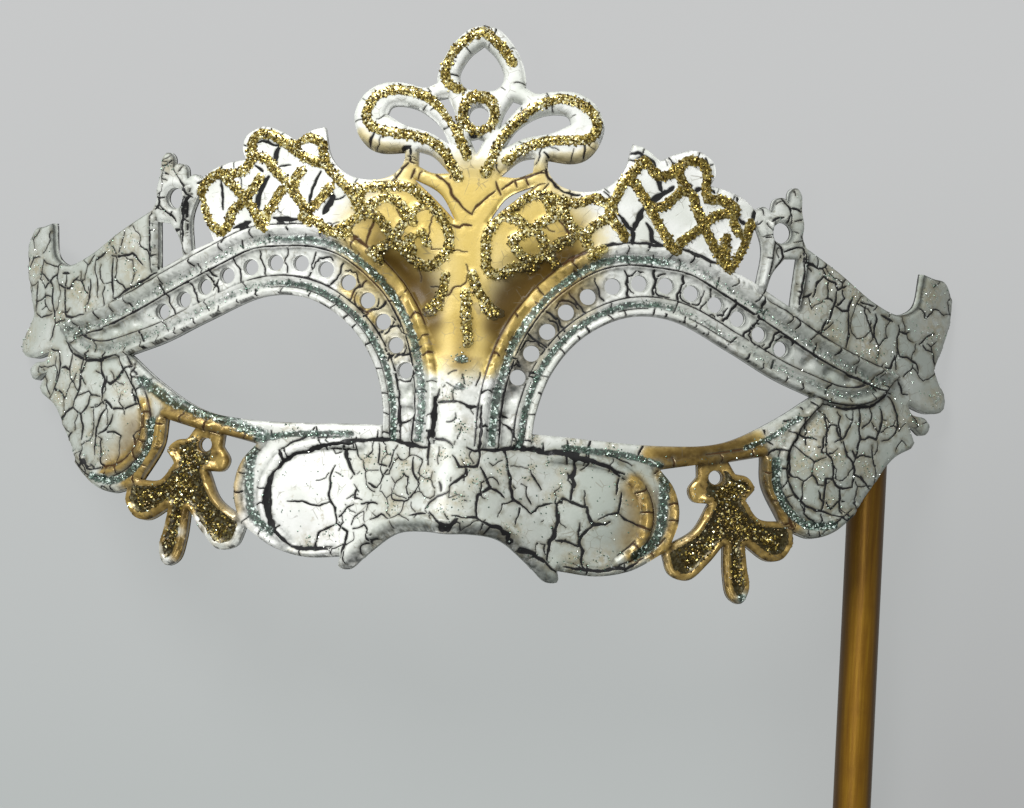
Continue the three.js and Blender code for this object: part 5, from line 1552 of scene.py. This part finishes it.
def hot_glue():
    """Milky glue, a little clouded."""
    p = Paint("hot_glue")
    at = p.place()
    cloud = p.noise(at, 0.5, 3)
    base = p.mix(cloud, (226, 216, 184), (202, 188, 148))
    p.set(Base_Color=base, Roughness=p.blend(cloud, 0.2, 0.38), Normal=p.bump(p.noise(at, 0.8, 2), 0.3, 0.5))
    p.shader.inputs["Subsurface Weight"].default_value = 0.25
    p.shader.inputs["Subsurface Radius"].default_value = (0.003, 0.0025, 0.0015)
    return p.material


# Glitter

def flakes(name, places, sizes, material, shine):
    """Small four-sided chips of glitter with a point above and below, each turned its own way."""
    count = len(places)
    ring = turns(4)
    form = np.vstack([np.column_stack([np.cos(ring), np.sin(ring), 0 * ring]), [(0, 0, 0.32), (0, 0, -0.32)]])
    sides = [(i, (i + 1) % 4, 4) for i in range(4)] + [((i + 1) % 4, i, 5) for i in range(4)]
    tilt = np.radians(random.normal(0, 34, count))
    spin, heading_to = random.uniform(0, 2 * math.pi, (2, count))
    points = np.empty((count, len(form), 3))
    for i in range(count):
        turn = (Matrix.Rotation(heading_to[i], 3, "Z") @ Matrix.Rotation(tilt[i], 3, "X")
                @ Matrix.Rotation(spin[i], 3, "Z"))
        points[i] = form * sizes[i] @ np.array(turn).T + places[i]
    faces = np.array(sides)[None] + len(form) * np.arange(count)[:, None, None]
    weights = {"shine": shine.repeat(len(form))}
    piece = make_mesh(name, points.reshape(-1, 3), faces.reshape(-1, 3), weights, smooth_faces=False)
    finish_piece(piece, material)


def scatter(lines, half_width, density):
    """Random points along lines, denser in their middle."""
    out = []
    for line in lines:
        curve = smooth(line, 0.5)
        total = lengths(curve)[-1]
        count = int(total * 2 * half_width * density)
        for at, side in zip(random.uniform(0, total, count), random.normal(0, 0.5, count)):
            a, ahead = heading(curve, at, 0.2)
            if at > total - 0.25:
                a, ahead = heading(curve, at - 0.25, 0.25)
            out.append(a + right_of(ahead) * half_width * np.clip(side, -1.05, 1.05))
    return np.array(out)


def finish_piece(piece, material, replaced=None):
    piece.data.materials.append(material)
    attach(piece, "root")
    if replaced:
        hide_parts(replaced)


# The stick and the glue

def stick_ends():
    """The middles of the stick's two ends, from the solid."""
    points = np.array([v.co[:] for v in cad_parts["stick"].data.vertices]) / MM
    along = points[:, 1]
    head = points[along > along.max() - 1]
    foot = points[along < along.min() + 1]
    return head.mean(axis=0), foot.mean(axis=0)


def tube_mesh(name, rings, sides):
    """A skin over rings of points, with a fan of faces at each end."""
    count = len(rings)
    points = np.vstack([np.vstack(rings), [rings[0].mean(axis=0)], [rings[-1].mean(axis=0)]])
    faces = []
    for i in range(count - 1):
        for j in range(sides):
            a, b = i * sides + j, i * sides + (j + 1) % sides
            faces += [(a, b, b + sides), (a, b + sides, a + sides)]
    first, last = count * sides, count * sides + 1
    faces += [(first, (j + 1) % sides, j) for j in range(sides)]
    top = (count - 1) * sides
    faces += [(last, top + j, top + (j + 1) % sides) for j in range(sides)]
    return make_mesh(name, points, np.array(faces))


def make_stick():
    """The rod, slightly uneven, with rounded ends."""
    head, foot = stick_ends()
    axis = head - foot
    length = np.linalg.norm(axis)
    axis /= length
    across = np.cross(axis, (0, 0, 1))
    across /= np.linalg.norm(across)
    upward = np.cross(across, axis)
    turn = turns(STICK_SIDES)
    ends = np.array([0, 0.1, 0.25, STICK_ROUNDING])
    stations = [*ends, *np.linspace(4, length - 4, 120), *(length - ends[::-1])]
    rings = []
    for at in stations:
        end = min(at, length - at, STICK_ROUNDING)
        r = STICK_RADIUS - STICK_ROUNDING + math.sqrt(max(0, STICK_ROUNDING**2 - (STICK_ROUNDING - end) ** 2))
        r = r * (1 + 0.004 * np.sin(3 * turn + at / 23) + 0.003 * math.sin(at / 11))
        around = np.cos(turn)[:, None] * across - np.sin(turn)[:, None] * upward
        rings.append(foot + axis * at + r[:, None] * around)
    finish_piece(tube_mesh("gilt_stick", rings, STICK_SIDES), gilt_wood(), "stick")


def make_glue(lift):
    """A blob of hot-melt glue between the stick and the back of the shell."""
    low, high = (np.array(corner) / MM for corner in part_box("glue_bead"))
    centre = (low + high) / 2
    half = np.array([GLUE_HALF_WIDTH, (high[1] - low[1]) / 2 - 0.2, GLUE_HALF_HEIGHT])
    lean = np.array(turn_matrix(GLUE_TURN, "Y")).T
    edge_x, edge_y = np.array(CHEEK_EDGE).T
    sides, count = 40, 24
    rings = []
    for i in range(1, count):
        polar = math.pi * i / count
        turn = turns(sides)
        bumps = 1 + 0.05 * np.sin(3 * turn + 2 * polar) + 0.04 * np.sin(5 * polar + turn)
        ring = np.column_stack([np.sin(polar) * np.cos(turn) * bumps, np.full(sides, -math.cos(polar)),
                                np.sin(polar) * np.sin(turn) * bumps]) * half @ lean + centre
        rim = np.interp(ring[:, 1] - lift[1], edge_y, edge_x)
        ring[:, 0] = np.minimum(ring[:, 0], rim - GLUE_INSET)
        ceiling = face_height(ring[:, 0], ring[:, 1] - lift[1]) + lift[2] - GLUE_COVER
        ring[:, 2] = np.minimum(ring[:, 2], ceiling)
        rings.append(ring)
    finish_piece(tube_mesh("hot_glue", rings, sides), hot_glue(), "glue_bead")


# The scene round the object

def make_floor():
    """A plain pale floor that glows by itself, so that shadows on it stay faint: painted light, dimmer
    towards the bottom and the lower right. The lamps light it a little from the upper left.
    """
    half = 3.0
    mesh = bpy.data.meshes.new("floor")
    corners = [(-half, -half, 0), (half, -half, 0), (half, half, 0), (-half, half, 0)]
    mesh.from_pydata(corners, [], [(0, 1, 2, 3)])
    floor = new_object("floor", mesh)
    floor.location.z = -0.0002
    p = Paint("floor")
    across, along, _ = p.axes(p.place())
    lower = p.step(along, -60, 200, 1.0, 0.0)
    # Painted light: the floor's own glow.
    painted_glow = p.mix(lower, (188, 189, 189), (169, 175, 173))
    painted_glow = p.mix(p.times(lower, p.step(across, 40, 110, 0.0, 1.0)), painted_glow, (158, 158, 158))
    base = p.mix(p.noise(p.place(), 0.02, 3), (58, 58, 58), (54, 55, 55))
    p.set(Base_Color=base, Roughness=0.9, Emission_Color=painted_glow, Emission_Strength=1.0)
    floor.data.materials.append(p.material)


def area_light(name, place, target, size, power):
    data = bpy.data.lights.new(name, "AREA")
    data.shape = "DISK"
    data.size = size
    data.energy = power
    lamp = new_object(name, data)
    lamp.location = place
    lamp.rotation_euler = (Vector(target) - Vector(place)).to_track_quat("-Z", "Y").to_euler()


def make_lights(middle):
    x, y, z = middle
    area_light("key", (x - 0.28, y + 0.56, z + 0.62), middle, 0.36, 8.3)
    area_light("front", (x - 0.05, y - 0.1, z + 0.8), (x + 0.05, y - 0.1, z), 0.12, 0.8)
    world = bpy.data.worlds.new("studio")
    world.use_nodes = True
    background = world.node_tree.nodes["Background"]
    background.inputs["Color"].default_value = (0.95, 0.97, 1.0, 1.0)
    background.inputs["Strength"].default_value = 0.28
    bpy.context.scene.world = world


def turn_matrix(degrees, axis):
    return Matrix.Rotation(math.radians(degrees), 3, axis)


def make_camera(lift):
    """The camera looks down on the mask as the photograph sees it."""
    turn = turn_matrix(CAMERA_ROLL, "Z") @ turn_matrix(CAMERA_PITCH, "X") @ turn_matrix(CAMERA_YAW, "Y")
    place = turn.transposed() @ Vector((-CAMERA_SHIFT[0], -CAMERA_SHIFT[1], CAMERA_DISTANCE)) + Vector(lift)
    data = bpy.data.cameras.new("camera")
    data.sensor_width = SENSOR_WIDTH
    data.lens = CAMERA_FOCAL / PHOTO_WIDTH * SENSOR_WIDTH
    data.clip_start, data.clip_end = 0.01, 20
    camera = new_object("camera", data)
    camera.matrix_world = Matrix.Translation(place * MM) @ turn.transposed().to_4x4()
    bpy.context.scene.camera = camera


def make_mask():
    """The painted shell. Gives its outlines, the band's two edges and how far its drawing is moved."""
    loops = outlines()
    top = smooth(BAND_TOP, ROW_STEP)
    parts = [[BAND_START], curve_through(EYE_UPPER_EDGE)[:-1], curve_through(BAND_TAIL)]
    low = resample(np.vstack(parts), ROW_STEP)
    points, faces, weights = shell_mesh(loops, all_cracks(loops, top, low), top, low)
    lowest = points[np.unique(faces), 2].min()
    lift = np.array([0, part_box("mask")[1][1] / MM - CREST_TOP, -lowest])
    piece = make_mesh("mask_shell", points + lift, faces, weights)
    finish_piece(piece, crackle_paint(), "mask")
    return loops, top, low, lift


def on_shell(places, loops, top, low, weight, least):
    """The places on the shell where the weight is over the least, and the height of the surface there."""
    places = places[inside(places, loops)]
    surface = relief(places, loops, [], top, low)
    kept = surface[weight] > least
    return places[kept], surface["height"][kept]


def make_glitter(loops, top, low, lift):
    """Loose chips: gold ones on the lace and the pendants, pale ones in the grooves, in the dust spots and
    strewn over the wings and the lower parts.
    """
    pendants = PENDANT_LINES + [mirror(line) for line in PENDANT_LINES]
    places = np.vstack([scatter(GOLD_BOTH + GOLD_RIGHT + GOLD_LEFT, GOLD_HALF_WIDTH, LACE_CHIPS),
                        scatter(pendants, 2.4, PENDANT_CHIPS)])
    places, height = on_shell(places, loops, top, low, "glitter", -0.25)
    sizes = random.uniform(*GOLD_SIZES, len(places))
    # Painted glints: a random shine for each chip, fewer bright ones on the pendants, and dimmer chips on the
    # right fan as painted shade.
    shine = random.uniform(0, 1, len(places)) ** np.where(places[:, 1] < -10, 4.4, 1.7)
    shine *= np.where((places[:, 0] > 27) & (places[:, 1] > 20), 0.66, 1)
    gold = flake_material("gold_glitter", [(0.0, (64, 50, 12)), (0.35, (146, 124, 50)),
                                           (0.65, (216, 198, 112)), (1.0, (255, 252, 215))], 0.28)
    flakes("gold_glitter", bend(places, height + 0.08) + lift, sizes, gold, shine)

    grooves = (offset(top, OUTER_GROOVE)[::3], offset(low, -INNER_GROOVE)[::3])
    lanes = [lane * (side, 1) for lane in grooves for side in (1, -1)]
    places = scatter(lanes + [line for _, line in frost_lines()], 0.85, GROOVE_CHIPS)
    spots = [(x, y) + random.normal(0, 0.5 * radius, (int(9 * radius), 2)) for x, y, radius in DUST_SPOTS]
    stray = random.uniform((-94, -34), (94, 46), (STRAY_CHIPS, 2))
    stray = stray[(np.abs(stray[:, 0]) > 56) | (stray[:, 1] < -6)]
    places, height = on_shell(np.vstack([places, *spots, stray]), loops, top, low, "edge", 0.2)
    sizes = random.uniform(*SILVER_SIZES, len(places))
    # Painted glints for the pale chips, rarer near the middle.
    shine = random.uniform(0, 1, len(places)) ** np.where(np.abs(places[:, 0]) < 44, 2.7, 0.9)
    silver = flake_material("silver_glitter", [(0.0, (72, 98, 84)), (0.4, (130, 156, 138)),
                                               (0.75, (222, 236, 224)), (1.0, (255, 255, 250))], 0.25)
    flakes("silver_glitter", bend(places, height + 0.05) + lift, sizes, silver, shine)


loops, band_top, band_low, lift = make_mask()
make_camera(lift)
make_glitter(loops, band_top, band_low, lift)
make_stick()
make_glue(lift)
make_floor()
make_lights((0.0, lift[1] * MM, 0.03))
bpy.context.scene.view_settings.view_transform = "Standard"
